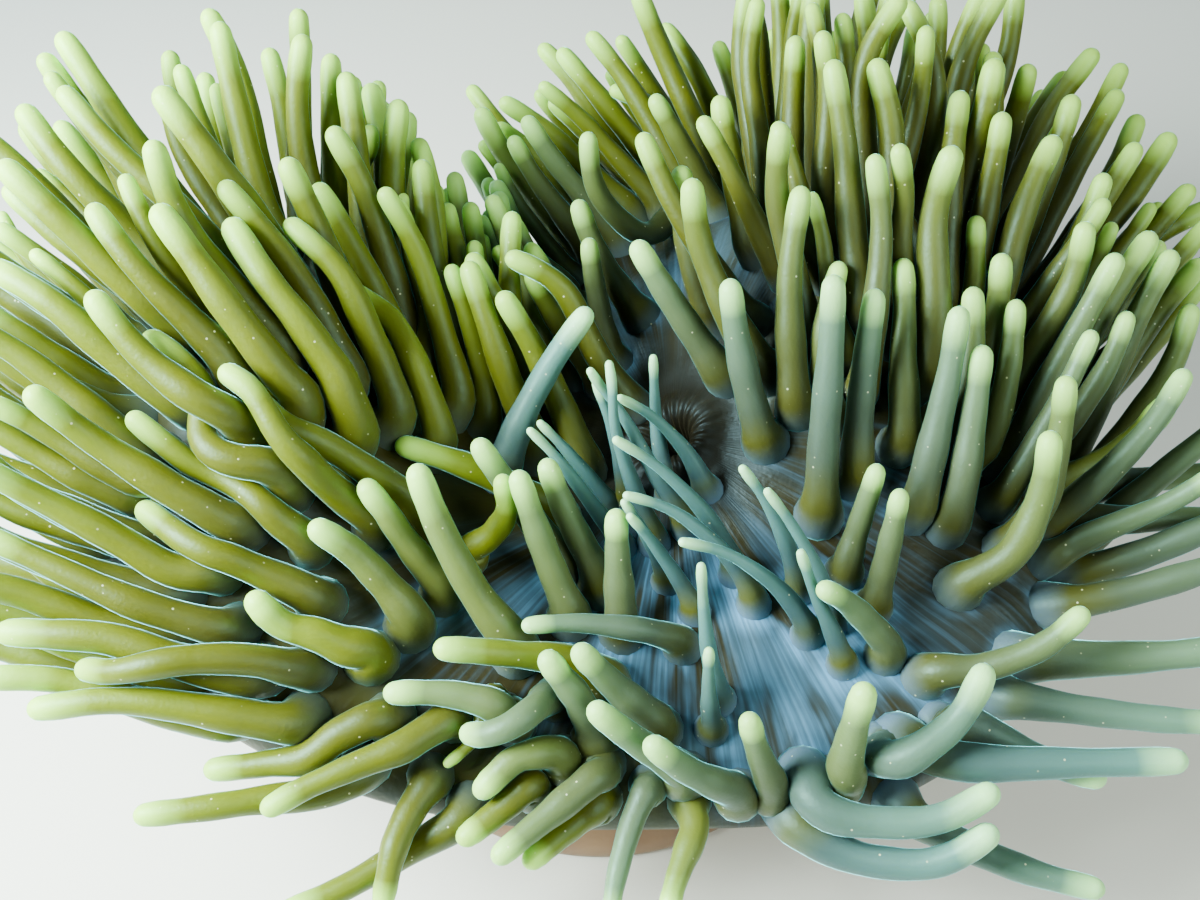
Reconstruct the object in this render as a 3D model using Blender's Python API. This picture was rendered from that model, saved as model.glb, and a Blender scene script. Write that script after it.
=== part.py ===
"""Magnificent sea anemone, a still model at life size, spread over its foot as in the picture.

Metres, +Z up, floor at z = 0, the foot's centre on the origin, -Y toward the viewer. The disc is
one surface, disc_point(u, angle), with u from 0 at the mouth to 1 at the margin. The foot, the
column, the mouth, the oral disc and the sectors that carry most tentacles are each one closed
body, and neighbours keep FIT_GAP between their faces. A tentacle is a centre line and its radii:
those that stand out in the pose are placed one by one, the rest follow the comb, and all are
pushed apart before they are fused with the node that they root in.
"""

import math

import bmesh
import bpy
import numpy as np

MM = 0.001
FIT_GAP = 0.3 * MM

# the disc: its middle, its reach to the margin and the folds that give it two lobes
MOUTH = np.array([18.0, 4.0]) * MM
MOUTH_LEVEL = 76 * MM
DISC_REACH = 106 * MM
# each row: change of reach in mm, direction in degrees, spread in degrees
REACH_CHANGES = (
    (40, 192, 34), (14, 72, 30), (-46, 126, 16), (-15, 270, 32), (16, 26, 24), (14, 158, 16),
)
# each hill or hollow in mm: x, y, rise, spread along x, spread along y
FOLDS = ((-84, 6, 54, 44, 54), (62, 42, 46, 44, 50), (-38, 66, -28, 26, 34), (20, -86, -12, 60, 30))
ROLL_FROM = 0.74
ROLL_TURN = math.radians(80)
DISC_THICK = 7 * MM

# how the disc is parted: rings by u, sectors by direction in degrees
MOUTH_RIM = 0.10
BARE_RIM = 0.34
COLUMN_RIM = 0.62
INNER_LEVEL = 0.22
SECTOR_LEVELS = (BARE_RIM, 0.48, COLUMN_RIM, 0.76, 0.87, 0.95, 1.0)
STEP_DEG = 9
SECTORS = {
    "far_fold_right": (108, 126),
    "far_fold_left": (126, 144),
    "left_lobe_back": (144, 171),
    "left_lobe_side": (171, 198),
    "left_lobe_front": (198, 225),
    "near_margin_left": (225, 261),
    "near_margin_right": (261, 297),
    "right_lobe_front": (297, 333),
    "right_lobe_side": (333, 369),
    "right_lobe_back": (9, 45),
    "far_margin_right": (45, 72),
    "far_margin_left": (72, 108),
}

# the lips round the mouth
LIP_RISE = 2.5 * MM
THROAT_DEEP = 5.4 * MM

# the foot and the column
FOOT_RADIUS = 68 * MM
FOOT_NECK = 0.93
FOOT_TALL = 9 * MM
COLUMN_RINGS = 6

# tentacles: size, spacing of their roots, how far they lie apart
ROOT_R, TIP_R = 4.1 * MM, 2.7 * MM
LONG_SPREAD, LONG_LIMITS = 4 * MM, (28 * MM, 66 * MM)
ROOT_SPACING = 10.2 * MM
ROOT_CLEAR = 1.0 * MM
ROOT_SUNK, ROOT_WAIST = 0.42, 0.85
OUTER_ROOT = 0.965
DARTS = 6000
POINTS = 12
RISE_SHARE = 0.18
PUSH_GAP = 1.0 * MM
SKIN_GAP = 2.0 * MM
FLOOR_GAP = 3 * MM
PUSH_ROUNDS = 160
STIFF = 0.1
SEED = 20

# the viewer looks down by this much; leans are measured in the viewer's picture
LOOK_DOWN = math.radians(50)
RIGHT = np.array([1.0, 0, 0])
UPWARD = np.array([0, math.sin(LOOK_DOWN), math.cos(LOOK_DOWN)])
TOWARD = np.array([0, -math.cos(LOOK_DOWN), math.sin(LOOK_DOWN)])

# the comb, how tentacles lie over the disc: x and y on the plan in mm, lean low down and at the
# tip in degrees anticlockwise from the viewer's right, share by which they come toward the viewer,
# length in mm
COMB_WIDE = 22 * MM
COMB = (
    (-102, 30, 124, 122, .25, 58), (-78, 52, 100, 96, .25, 60), (-58, 50, 84, 80, .25, 56),
    (-40, 35, 95, 95, .20, 50), (-62, -10, 118, 115, .25, 52), (-82, -25, 136, 133, .25, 52),
    (-110, -5, 142, 140, .20, 52), (-128, 5, 152, 150, .20, 50), (-72, -44, 151, 148, .20, 52),
    (-100, -42, 168, 165, .15, 52), (-58, -62, 175, 184, .15, 50), (-34, -66, 200, 207, .15, 50),
    (-9, -64, 190, 202, .20, 46), (-8, -82, 214, 220, .40, 42), (14, -88, 230, 250, .70, 36),
    (8, -62, 130, 122, .60, 38), (31, -84, 150, 140, .80, 36), (48, -94, 300, 320, .60, 40),
    (60, -70, 0, 55, .40, 44), (78, -82, -14, -8, .25, 52), (88, -60, 0, 16, .20, 52),
    (110, -34, 4, 22, .25, 52), (116, 2, 58, 62, .30, 52), (85, -20, 86, 86, .30, 52),
    (48, -12, 95, 95, .20, 52), (25, 25, 122, 120, .30, 52), (2, 60, 132, 130, .30, 52),
    (12, 100, 134, 130, .20, 56), (53, 68, 92, 92, .20, 58), (78, 45, 88, 88, .30, 56),
    (105, 70, 66, 68, .20, 58), (130, 40, 42, 40, .20, 54), (-22, 62, 110, 108, .20, 36),
)

# the tentacles that stand out in the pose: x, y and length in mm, lean low, halfway and at the tip,
# share toward the viewer, thickness
PLACED = (
    (25, 82, 56, 232, 142, 94, .7, .95), (-27, -7, 46, 70, 60, 52, .3, 1.0),
    (33, 84, 36, 118, 122, 125, .4, 1.0), (30, 31, 38, 114, 106, 95, .4, 1.05),
    (12, 41, 34, 128, 122, 110, .4, 1.0), (29, 13, 40, 128, 126, 124, .4, 1.05),
    (7, 84, 44, 135, 132, 125, .3, 1.0), (-6, 69, 36, 134, 130, 124, .3, 1.0),
    (4, 25, 32, 104, 102, 98, .4, .9), (40, 44, 38, 108, 105, 102, .35, 1.0),
    (7, -11, 34, 100, 106, 112, .5, .62), (26, -10, 36, 118, 135, 155, .5, .60),
    (38, -38, 46, 122, 140, 165, .4, .62), (45, -47, 44, 125, 145, 168, .4, .66),
    (15, -32, 26, 115, 120, 125, .6, .60), (27, -60, 38, 108, 98, 95, .5, .62),
    (46, -36, 38, 108, 118, 130, .5, .66), (55, -53, 34, 112, 116, 118, .5, .66),
    (2, -12, 30, 125, 130, 135, .5, .60), (40, -2, 42, 110, 106, 100, .5, 1.05),
    (50, -15, 58, 92, 89, 92, .4, 1.05), (60, -12, 46, 92, 88, 86, .4, 1.0),
    (72, -22, 50, 80, 82, 88, .35, 1.0), (82, -21, 44, 85, 88, 92, .35, 1.0),
    (86, -31, 44, 30, 75, 92, .4, 1.05), (96, -25, 44, 60, 85, 92, .4, 1.0),
    (109, -8, 36, 20, 50, 62, .5, 1.15), (57, -32, 28, 80, 78, 78, .5, .85),
    (63, -40, 30, 82, 84, 85, .5, .85), (65, -51, 30, 130, 138, 150, .5, .9),
    (73, -56, 38, 5, 25, 50, .35, .95), (54, -76, 34, 90, 88, 85, .8, 1.1),
    (58, -72, 40, 8, 62, 96, .45, 1.1), (66, -69, 60, -4, -2, 2, .15, 1.1),
    (45, -75, 48, -24, 2, 42, .3, 1.1), (42, -80, 48, -30, 0, 42, .3, 1.1),
    (-1, -69, 28, 118, 118, 112, .6, 1.05), (13, -66, 32, 135, 132, 128, .6, 1.05),
    (19, -75, 34, 137, 137, 135, .6, 1.05), (31, -78, 34, 148, 140, 132, .7, 1.05),
    (-9, -60, 34, 200, 190, 186, .3, 1.0), (-19, -66, 36, 160, 172, 180, .3, 1.0),
    (-47, -57, 32, 195, 160, 90, .35, 1.15), (19, -48, 40, 160, 178, 196, .35, .8),
    (-31, -30, 26, 30, 60, 110, .5, .9), (-10, -27, 38, 125, 125, 120, .4, 1.0),
    (-7, -42, 38, 112, 110, 108, .4, 1.0), (0, -34, 34, 118, 114, 108, .4, 1.0),
    (5, -45, 30, 95, 93, 92, .4, 1.0), (-19, -51, 50, 128, 116, 108, .35, 1.1),
    (-38, -50, 34, 122, 130, 150, .4, 1.1), (-36, -40, 34, 130, 128, 130, .4, 1.0),
    (3, -73, 34, 212, 216, 220, .5, 1.0), (11, -76, 34, 238, 252, 262, .5, .8),
    (38, -78, 28, 112, 108, 104, .7, .95), (-8, -73, 26, 188, 192, 196, .6, 1.05),
    (-14, -78, 24, 205, 205, 205, .6, 1.0), (-21, -63, 26, 246, 212, 186, .3, .7),
    (-37, -77, 28, 240, 250, 258, .4, .95), (76, -66, 38, -18, -16, -10, .2, 1.05),
    (89, -58, 50, -8, -5, 0, .2, 1.0), (66, -77, 46, -28, -20, -10, .2, 1.0),
    (2, -79, 22, 208, 210, 215, .6, 1.0), (25, -66, 24, 98, 95, 92, .6, .7),
)
# patches of the disc with only placed tentacles, in mm: x, y, radius along x, radius along y
BARE_PATCHES = ((56, -38, 40, 31), (-22, -46, 24, 20), (22, -34, 30, 30), (19, 54, 26, 37),
                (40, -70, 16, 12))

# a tentacle's solid
SIDES = 5
CHORD_SLACK = 1.2 * MM
TIP_ROUND = 0.8
SOLID_GAP = 0.5 * MM
SAMPLES_EACH = 5

# colours, linear
OLIVE = (0.16, 0.17, 0.03)
SKIN_BLUE = (0.10, 0.16, 0.26)
COLUMN_TAN = (0.30, 0.20, 0.13)
LIP_BLUE = (0.14, 0.22, 0.33)


def unit(v):
    return v / np.maximum(np.linalg.norm(v, axis=-1, keepdims=True), 1e-12)


def smooth(t):
    return t * t * (3 - 2 * t)


def turn_between(angle, other):
    """the shorter way round from other to angle"""
    return (angle - other + np.pi) % (2 * np.pi) - np.pi


def margin_reach(angle):
    reach = np.full(np.shape(angle), DISC_REACH)
    for change, centre, spread in REACH_CHANGES:
        away = turn_between(angle, math.radians(centre)) / math.radians(spread)
        reach = reach + change * MM * np.exp(-(away ** 2))
    return reach


def disc_level(x, y):
    level = np.full(np.shape(x), MOUTH_LEVEL)
    for at_x, at_y, rise, wide_x, wide_y in FOLDS:
        off_x, off_y = (x / MM - at_x) / wide_x, (y / MM - at_y) / wide_y
        level = level + rise * MM * np.exp(-(off_x ** 2) - off_y ** 2)
    return level


def rolled_rim():
    """outward and downward travel, for a reach of 1, of a rim that turns down past ROLL_FROM"""
    steps = np.linspace(0, 1, 101)
    turn = ROLL_TURN * np.clip((steps - ROLL_FROM) / (1 - ROLL_FROM), 0, 1) ** 1.5
    middle = (turn[1:] + turn[:-1]) / 2
    out = np.concatenate([[0], np.cumsum(np.cos(middle))]) / 100
    down = np.concatenate([[0], np.cumsum(np.sin(middle))]) / 100
    return steps, out, down


RIM_STEPS, RIM_OUT, RIM_DOWN = rolled_rim()


def disc_point(u, angle):
    reach = margin_reach(angle)
    out = reach * np.interp(u, RIM_STEPS, RIM_OUT)
    x = MOUTH[0] + out * np.cos(angle)
    y = MOUTH[1] + out * np.sin(angle)
    return np.stack([x, y, disc_level(x, y) - reach * np.interp(u, RIM_STEPS, RIM_DOWN)], -1)


def disc_normal(u, angle):
    e = 1e-3
    u = np.clip(u, 0.02, 1 - e)
    along = disc_point(u + e, angle) - disc_point(u - e, angle)
    across = disc_point(u, angle + e) - disc_point(u, angle - e)
    return unit(np.cross(along, across))


def thin_share(u, angle):
    """the disc's thickness against DISC_THICK: thinner where its reach is short"""
    return 1 + (margin_reach(angle) / DISC_REACH - 1) * np.clip(u / BARE_RIM, 0, 1)


def below_disc(u, angle, depth, gap=0.0):
    """the disc's surface sunk by depth, in proportion to its thickness, and by gap"""
    depth = depth * thin_share(u, angle) + gap
    return disc_point(u, angle) - disc_normal(u, angle) * np.asarray(depth)[..., None]


def over_plan(x, y):
    """u and angle of the disc over plan points, and the points' share of the reach"""
    angle = np.arctan2(y - MOUTH[1], x - MOUTH[0]) % (2 * np.pi)
    share = np.hypot(x - MOUTH[0], y - MOUTH[1]) / margin_reach(angle)
    return np.interp(share, RIM_OUT, RIM_STEPS), angle, share


def skin_level(x, y):
    """height of the disc's skin over plan points, and whether they lie inside the margin"""
    u, angle, share = over_plan(x, y)
    down = margin_reach(angle) * np.interp(u, RIM_STEPS, RIM_DOWN)
    return disc_level(x, y) - down, share < RIM_OUT[-1]


def seen(lean, toward):
    """a direction that the viewer sees at this lean in degrees, coming this much toward them"""
    lean = np.radians(lean)[..., None]
    return unit(RIGHT * np.cos(lean) + UPWARD * np.sin(lean) + TOWARD * toward[..., None])


def comb(x, y):
    """low and tip directions and length of the tentacles that root over these plan points"""
    row_x, row_y, low, tip, toward, length = np.array(COMB).T
    away = (x[:, None] - row_x * MM) ** 2 + (y[:, None] - row_y * MM) ** 2
    share = np.exp(-away / COMB_WIDE ** 2) + 1e-6 * np.exp(-away / (3 * COMB_WIDE) ** 2)
    share /= share.sum(1, keepdims=True)
    return unit(share @ seen(low, toward)), unit(share @ seen(tip, toward)), share @ length * MM


def centre_lines(u, angle, ways, length):
    """lines that leave the skin along its normal and turn through the ways in order"""
    s = np.linspace(0, 1, POINTS)
    last = ways.shape[1] - 1
    t = np.clip((s - RISE_SHARE) / (0.95 - RISE_SHARE), 0, 1) * last
    k = np.minimum(t.astype(int), last - 1)
    f = smooth(t - k)[None, :, None]
    way = ways[:, k] * (1 - f) + ways[:, k + 1] * f
    rise = np.clip(s / RISE_SHARE, 0, 1)[None, :, None]
    way = unit((1 - rise) * disc_normal(u, angle)[:, None] + rise * way)
    steps = unit(way[:, 1:] + way[:, :-1]) * (length / (POINTS - 1))[:, None, None]
    walk = np.concatenate([np.zeros((len(u), 1, 3)), np.cumsum(steps, 1)], 1)
    return disc_point(u, angle)[:, None] + walk


def wall_angles():
    return np.radians(sorted({edge % 360 for bounds in SECTORS.values() for edge in bounds}))


def wall_distance(points):
    """how far points of the skin lie from the nearest wall between the nodes"""
    turn = np.linspace(0, 2 * np.pi, 361)
    walls = [disc_point(np.full(turn.shape, u), turn) for u in (MOUTH_RIM, BARE_RIM)]
    levels = np.linspace(BARE_RIM, 1, 60)
    walls += [disc_point(levels, np.full(levels.shape, edge)) for edge in wall_angles()]
    walls = np.concatenate(walls)
    return np.array([np.sqrt(((walls - point) ** 2).sum(1).min()) for point in points])


def clear_of_walls(u, angle, radius):
    """roots moved sideways until they clear the walls between the nodes"""
    reach = margin_reach(angle)
    need = radius + ROOT_CLEAR
    off = (u - BARE_RIM) * reach
    moved = BARE_RIM + np.where(off < 0, -need, need) / reach
    u = np.where(np.abs(off) < need, moved, u)
    u = np.maximum(u, MOUTH_RIM + need / reach)
    away = turn_between(angle[:, None], wall_angles())
    away = away[np.arange(len(u)), np.abs(away).argmin(1)]
    least = need / (u * reach)
    crossing = (np.abs(away) < least) & (u > BARE_RIM)
    return u, angle + np.where(crossing, np.where(away < 0, -least, least) - away, 0)


def placed_tentacles():
    x, y, length, low, mid, tip, toward, thick = np.array(PLACED).T
    u, angle = over_plan(x * MM, y * MM)[:2]
    u, angle = clear_of_walls(u, angle, ROOT_R * thick)
    ways = np.stack([seen(low, toward), seen(mid, toward), seen(tip, toward)], 1)
    return u, angle, centre_lines(u, angle, ways, length * MM), thick


def scattered_roots(taken):
    """roots thrown over the disc like darts, kept where none stands within ROOT_SPACING"""
    rng = np.random.default_rng(SEED)
    u = np.sqrt(rng.uniform((MOUTH_RIM + 0.05) ** 2, 1.0, DARTS)) * OUTER_ROOT
    angle = rng.uniform(0, 2 * np.pi, DARTS)
    points = disc_point(u, angle)
    good = wall_distance(points) > ROOT_R + ROOT_CLEAR
    for at_x, at_y, wide_x, wide_y in BARE_PATCHES:
        off_x, off_y = (points[:, 0] / MM - at_x) / wide_x, (points[:, 1] / MM - at_y) / wide_y
        good &= np.hypot(off_x, off_y) > 1
    stand = list(taken)
    kept = []
    for i in np.flatnonzero(good):
        if min(np.sum((np.array(stand) - points[i]) ** 2, 1)) > ROOT_SPACING ** 2:
            stand.append(points[i])
            kept.append(i)
    return u[kept], angle[kept]


def combed_tentacles(taken):
    rng = np.random.default_rng(SEED + 1)
    u, angle = scattered_roots(taken)
    count = len(u)
    root = disc_point(u, angle)
    low, tip, length = comb(root[:, 0], root[:, 1])
    low = unit(low + rng.normal(0, 0.10, (count, 3)))
    mid = unit(low + tip + rng.normal(0, 0.16, (count, 3)))
    tip = unit(tip + rng.normal(0, 0.20, (count, 3)))
    length = np.clip(length + rng.normal(0, LONG_SPREAD, count), *LONG_LIMITS)
    thick = 1 + rng.normal(0, 0.06, count)
    return u, angle, centre_lines(u, angle, np.stack([low, mid, tip], 1), length), thick


def close_pairs(points, owner, reach):
    """pairs of points of different owners that lie nearer than reach"""
    order = np.argsort(points[:, 0], kind="stable")
    last = np.searchsorted(points[order, 0], points[order, 0] + reach, side="right")
    first, second = [np.zeros(0, int)], [np.zeros(0, int)]
    for k, i in enumerate(order):
        near = order[k + 1:last[k]]
        away = points[near] - points[i]
        hit = near[((away * away).sum(1) < reach * reach) & (owner[near] != owner[i])]
        first.append(np.full(len(hit), i))
        second.append(hit)
    return np.concatenate(first), np.concatenate(second)


def lift_off_skin(flat, radius, free):
    """points raised until they clear the disc's skin and the floor"""
    e = 0.5 * MM
    level, inside = skin_level(flat[:, 0], flat[:, 1])
    slope_x = (skin_level(flat[:, 0] + e, flat[:, 1])[0] - level) / e
    slope_y = (skin_level(flat[:, 0], flat[:, 1] + e)[0] - level) / e
    steep = np.sqrt(1 + np.minimum(slope_x ** 2 + slope_y ** 2, 4))
    low = np.where(inside, level + (radius + SKIN_GAP) * steep, 0)
    low = np.maximum(low, radius + FLOOR_GAP)
    flat[:, 2] += 0.6 * np.clip(low - flat[:, 2], 0, 2 * MM) * (free > 0)


def pushed_apart(lines, radii):
    """tentacles bent until their skins lie PUSH_GAP apart; roots, lengths and bends are kept"""
    lines = lines.copy()
    count, size = lines.shape[:2]
    length = np.linalg.norm(np.diff(lines, axis=1), axis=-1, keepdims=True)
    bend = (lines[:, :-2] + lines[:, 2:]) / 2 - lines[:, 1:-1]
    along = np.clip((np.arange(size) - 1) / 3, 0, 1)
    free = np.tile(along, count)
    owner = np.repeat(np.arange(count), size)
    radius = radii.reshape(-1)
    for turn in range(PUSH_ROUNDS):
        flat = lines.reshape(-1, 3)
        if turn % 8 == 0:
            a, b = close_pairs(flat, owner, 2 * radius.max() + PUSH_GAP + 3 * MM)
            a, b = a[free[a] + free[b] > 0], b[free[a] + free[b] > 0]
        away = flat[a] - flat[b]
        dist = np.linalg.norm(away, axis=1) + 1e-9
        over = radius[a] + radius[b] + PUSH_GAP - dist
        hit = over > 0
        near, far = a[hit], b[hit]
        push = away[hit] * (0.5 * over[hit] / dist[hit] / (free[near] + free[far]))[:, None]
        move, many = np.zeros_like(flat), np.zeros(len(flat))
        np.add.at(move, near, push * free[near, None])
        np.add.at(move, far, -push * free[far, None])
        np.add.at(many, near, 1)
        np.add.at(many, far, 1)
        flat = flat + move / np.sqrt(np.maximum(many, 1))[:, None]
        lift_off_skin(flat, radius, free)
        lines = flat.reshape(count, size, 3)
        sprung = (lines[:, :-2] + lines[:, 2:]) / 2 - lines[:, 1:-1] - bend
        lines[:, 1:-1] += STIFF * sprung * along[None, 1:-1, None]
        for k in range(2, size):
            lines[:, k] = lines[:, k - 1] + unit(lines[:, k] - lines[:, k - 1]) * length[:, k - 1]
    return lines


def tentacles():
    """all tentacles of the solids: u and angle of their roots, centre lines and radii"""
    first = placed_tentacles()
    second = combed_tentacles(disc_point(*first[:2]))
    u, angle, lines, thick = (np.concatenate(pair) for pair in zip(first, second))
    radii = (ROOT_R + (TIP_R - ROOT_R) * np.linspace(0, 1, POINTS)) * thick[:, None]
    return u, angle, pushed_apart(lines, radii), radii


def ring_numbers(line):
    """the fewest of the line's points whose straight runs stay within CHORD_SLACK of it"""
    last = len(line) - 1
    kept = [0]
    while kept[-1] < last:
        start, end = kept[-1], last
        while end > start + 1:
            run = unit(line[end] - line[start])
            off = line[start + 1:end] - line[start]
            bulge = np.linalg.norm(off - (off @ run)[:, None] * run, axis=1).max()
            if bulge < CHORD_SLACK:
                break
            end -= 1
        kept.append(end)
    return np.array(kept)


def slimmed(cores):
    """radii thinned where the straight runs of two tentacles would come nearer than SOLID_GAP"""
    f = np.linspace(0, 1, SAMPLES_EACH)
    points, sizes, owner, ring = [], [], [], []
    for i, (line, radius) in enumerate(cores):
        for k in range(len(line) - 1):
            points.append(line[k] * (1 - f[:, None]) + line[k + 1] * f[:, None])
            sizes.append(radius[k] * (1 - f) + radius[k + 1] * f)
            owner += [i] * len(f)
            ring += [k] * len(f)
    points, sizes = np.concatenate(points), np.concatenate(sizes)
    owner, ring = np.array(owner), np.array(ring)
    a, b = close_pairs(points, owner, 2 * sizes.max() + SOLID_GAP)
    dist = np.linalg.norm(points[a] - points[b], axis=1)
    share = (dist - SOLID_GAP) / (sizes[a] + sizes[b])
    for i, j, s in zip(a[share < 1], b[share < 1], share[share < 1]):
        for at in (i, j):
            radius = cores[owner[at]][1]
            k = ring[at]
            radius[k:k + 2] = np.minimum(radius[k:k + 2], sizes[at] * s)
    return cores


def material(name, colour, roughness):
    made = bpy.data.materials.new(name)
    made.use_nodes = True
    shader = made.node_tree.nodes["Principled BSDF"]
    shader.inputs["Base Color"].default_value = (*colour, 1)
    shader.inputs["Roughness"].default_value = roughness
    shader.inputs["Metallic"].default_value = 0
    made.diffuse_color = (*colour, 1)
    return made


def add_object(name, points, faces, look=None):
    mesh = bpy.data.meshes.new(name)
    mesh.from_pydata([tuple(p) for p in points], [], faces)
    mesh.shade_smooth()
    if look:
        mesh.materials.append(look)
    obj = bpy.data.objects.new(name, mesh)
    bpy.context.scene.collection.objects.link(obj)
    return obj


def cells_between(lower, upper, closed, leaning=False):
    """two triangles for each cell between two rows of point numbers; leaning picks the other cut"""
    count = len(lower)
    faces = []
    for j in range(count if closed else count - 1):
        k = (j + 1) % count
        if leaning:
            faces += [(lower[j], lower[k], upper[j]), (lower[k], upper[k], upper[j])]
        else:
            faces += [(lower[j], lower[k], upper[k]), (lower[j], upper[k], upper[j])]
    return faces


def row_numbers(rings):
    count = len(rings[0])
    return [list(range(i * count, (i + 1) * count)) for i in range(len(rings))]


def turned_solid(rings, bottom, top):
    """a closed skin over rings that run upward, with a point at each end"""
    points = [p for ring in rings for p in ring] + [bottom, top]
    rows = row_numbers(rings)
    faces = []
    for lower, upper in zip(rows, rows[1:]):
        faces += cells_between(lower, upper, True, True)
    low, high = len(points) - 2, len(points) - 1
    count = len(rings[0])
    for j in range(count):
        k = (j + 1) % count
        faces += [(rows[0][k], rows[0][j], low), (rows[-1][j], rows[-1][k], high)]
    return points, faces


def ring_solid(rings):
    """a closed skin over rings that run once round a ring-shaped body"""
    points = [p for ring in rings for p in ring]
    rows = row_numbers(rings)
    faces = []
    for lower, upper in zip(rows, rows[1:] + rows[:1]):
        faces += cells_between(lower, upper, True)
    return points, faces


def sheet_solid(lower, upper):
    """a closed skin between two grids of the same shape"""
    rows, cols = lower.shape[:2]
    points = np.concatenate([lower.reshape(-1, 3), upper.reshape(-1, 3)])
    number = np.arange(rows * cols).reshape(rows, cols)
    over = number + rows * cols
    faces = []
    for i in range(rows - 1):
        faces += cells_between(over[i + 1], over[i], False)
        faces += cells_between(number[i], number[i + 1], False)
    for edge, leaning in ((number[0], True), (number[:, -1], False),
                          (number[-1, ::-1], False), (number[::-1, 0], True)):
        faces += cells_between(edge + rows * cols, edge, False, leaning)
    return points, [tuple(int(n) for n in face) for face in faces]


def angles_round():
    return np.radians(np.arange(0, 360, STEP_DEG))


def ways_round():
    angle = angles_round()
    return np.stack([np.cos(angle), np.sin(angle), 0 * angle], -1)


def centre_point(depth):
    return np.array([MOUTH[0], MOUTH[1], disc_level(*MOUTH) - depth])


def disc_ring(u, inset, depth, gap=0.0):
    """a ring of the disc at u, moved inset toward the mouth and sunk by depth and gap"""
    angle = angles_round()
    return below_disc(u - inset / margin_reach(angle), angle, depth, gap)


def foot(look):
    """the flat foot that grips the rock, its edge rounded"""
    rings = []
    for share, level in ((0.96, 0.0), (1.0, 0.35), (FOOT_NECK, 1.0)):
        rings.append(ways_round() * FOOT_RADIUS * share + np.array([0, 0, FOOT_TALL * level]))
    points, faces = turned_solid(rings, np.zeros(3), np.array([0, 0, FOOT_TALL]))
    return add_object("foot", points, faces, look)


def column(look):
    """the body under the disc: it leaves the foot, narrows and flares to the disc's underside"""
    up = np.array([0, 0, 1.0])
    gap = FIT_GAP * 1.3
    start = ways_round() * FOOT_RADIUS * FOOT_NECK + up * (FOOT_TALL + FIT_GAP)
    end = disc_ring(COLUMN_RIM, 0, DISC_THICK, gap)
    tall = np.linalg.norm(end - start, axis=-1, keepdims=True)
    leave = (up - 0.9 * ways_round()) * tall * 1.1
    arrive = (up + 0.1 * ways_round()) * tall * 0.9
    rings = []
    for t in np.linspace(0, 1, COLUMN_RINGS):
        rings.append(start * (2 * t**3 - 3 * t**2 + 1) + leave * (t**3 - 2 * t**2 + t)
                     + end * (3 * t**2 - 2 * t**3) + arrive * (t**3 - t**2))
    for u in (SECTOR_LEVELS[1], BARE_RIM, INNER_LEVEL, MOUTH_RIM):
        rings.append(disc_ring(u, 0, DISC_THICK, gap))
    points, faces = turned_solid(rings, up * (FOOT_TALL + FIT_GAP), centre_point(DISC_THICK + gap))
    return add_object("column", points, faces, look)


def mouth(look):
    """the raised lips and the hollow between them"""
    half = FIT_GAP / 2
    rings = [disc_ring(MOUTH_RIM, half, DISC_THICK)]
    for share, rise in ((1.0, 0.0), (0.7, 1.0), (0.35, -0.6)):
        rings.append(disc_ring(MOUTH_RIM * share, half, -LIP_RISE * rise))
    points, faces = turned_solid(rings, centre_point(DISC_THICK), centre_point(THROAT_DEEP))
    return add_object("mouth", points, faces, look)


def oral_disc(look):
    """the skin round the mouth"""
    half = FIT_GAP / 2
    turns = ((MOUTH_RIM, -half), (INNER_LEVEL, 0), (BARE_RIM, half))
    rings = [disc_ring(u, inset, DISC_THICK) for u, inset in turns]
    rings += [disc_ring(u, inset, 0.0) for u, inset in turns[::-1]]
    return add_object("oral_disc", *ring_solid(rings), look)


def sector_grid(bounds, depth):
    """points of one sector's surface sunk by depth, its walls inset by half the fit gap"""
    angle = np.radians(np.arange(bounds[0], bounds[1] + 1, STEP_DEG))
    u = np.array(SECTOR_LEVELS)[:, None] + 0 * angle
    wall = np.zeros(len(angle))
    wall[0], wall[-1] = FIT_GAP / 2, -FIT_GAP / 2
    angle = angle[None] + wall / (margin_reach(angle) * u)
    u[0] += FIT_GAP / 2 / margin_reach(angle[0])
    return below_disc(u, angle, depth)


def sector(name, bounds, look):
    """one sector of the disc, without its tentacles"""
    points, faces = sheet_solid(sector_grid(bounds, DISC_THICK), sector_grid(bounds, 0.0))
    return add_object(name, points, faces, look)


def tentacle_core(u, angle, line, radius):
    """a tentacle's centre line from its sunk root, and its radii, at its solid's rings"""
    line, radius = line.copy(), radius.copy()
    line[0] = below_disc(u, angle, DISC_THICK * ROOT_SUNK)
    radius[0] *= ROOT_WAIST
    kept = ring_numbers(line)
    return line[kept], radius[kept]


def tentacle_solid(line, radius):
    """a tube of few sides round the core, with a blunt tip"""
    run = np.diff(line, axis=0)
    way = unit(np.vstack([run[:1], unit(run[1:]) + unit(run[:-1]), run[-1:]]))
    side = unit(np.cross(way[0], RIGHT + 0.3 * TOWARD))
    around = np.arange(SIDES) * 2 * np.pi / SIDES
    rings = []
    for point, ahead, size in zip(line, way, radius):
        side = unit(side - (side @ ahead) * ahead)
        other = np.cross(ahead, side)
        ring = np.cos(around)[:, None] * side + np.sin(around)[:, None] * other
        rings.append(point + size * ring)
    return turned_solid(rings, line[0], line[-1] + way[-1] * radius[-1] * TIP_ROUND)


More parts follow.
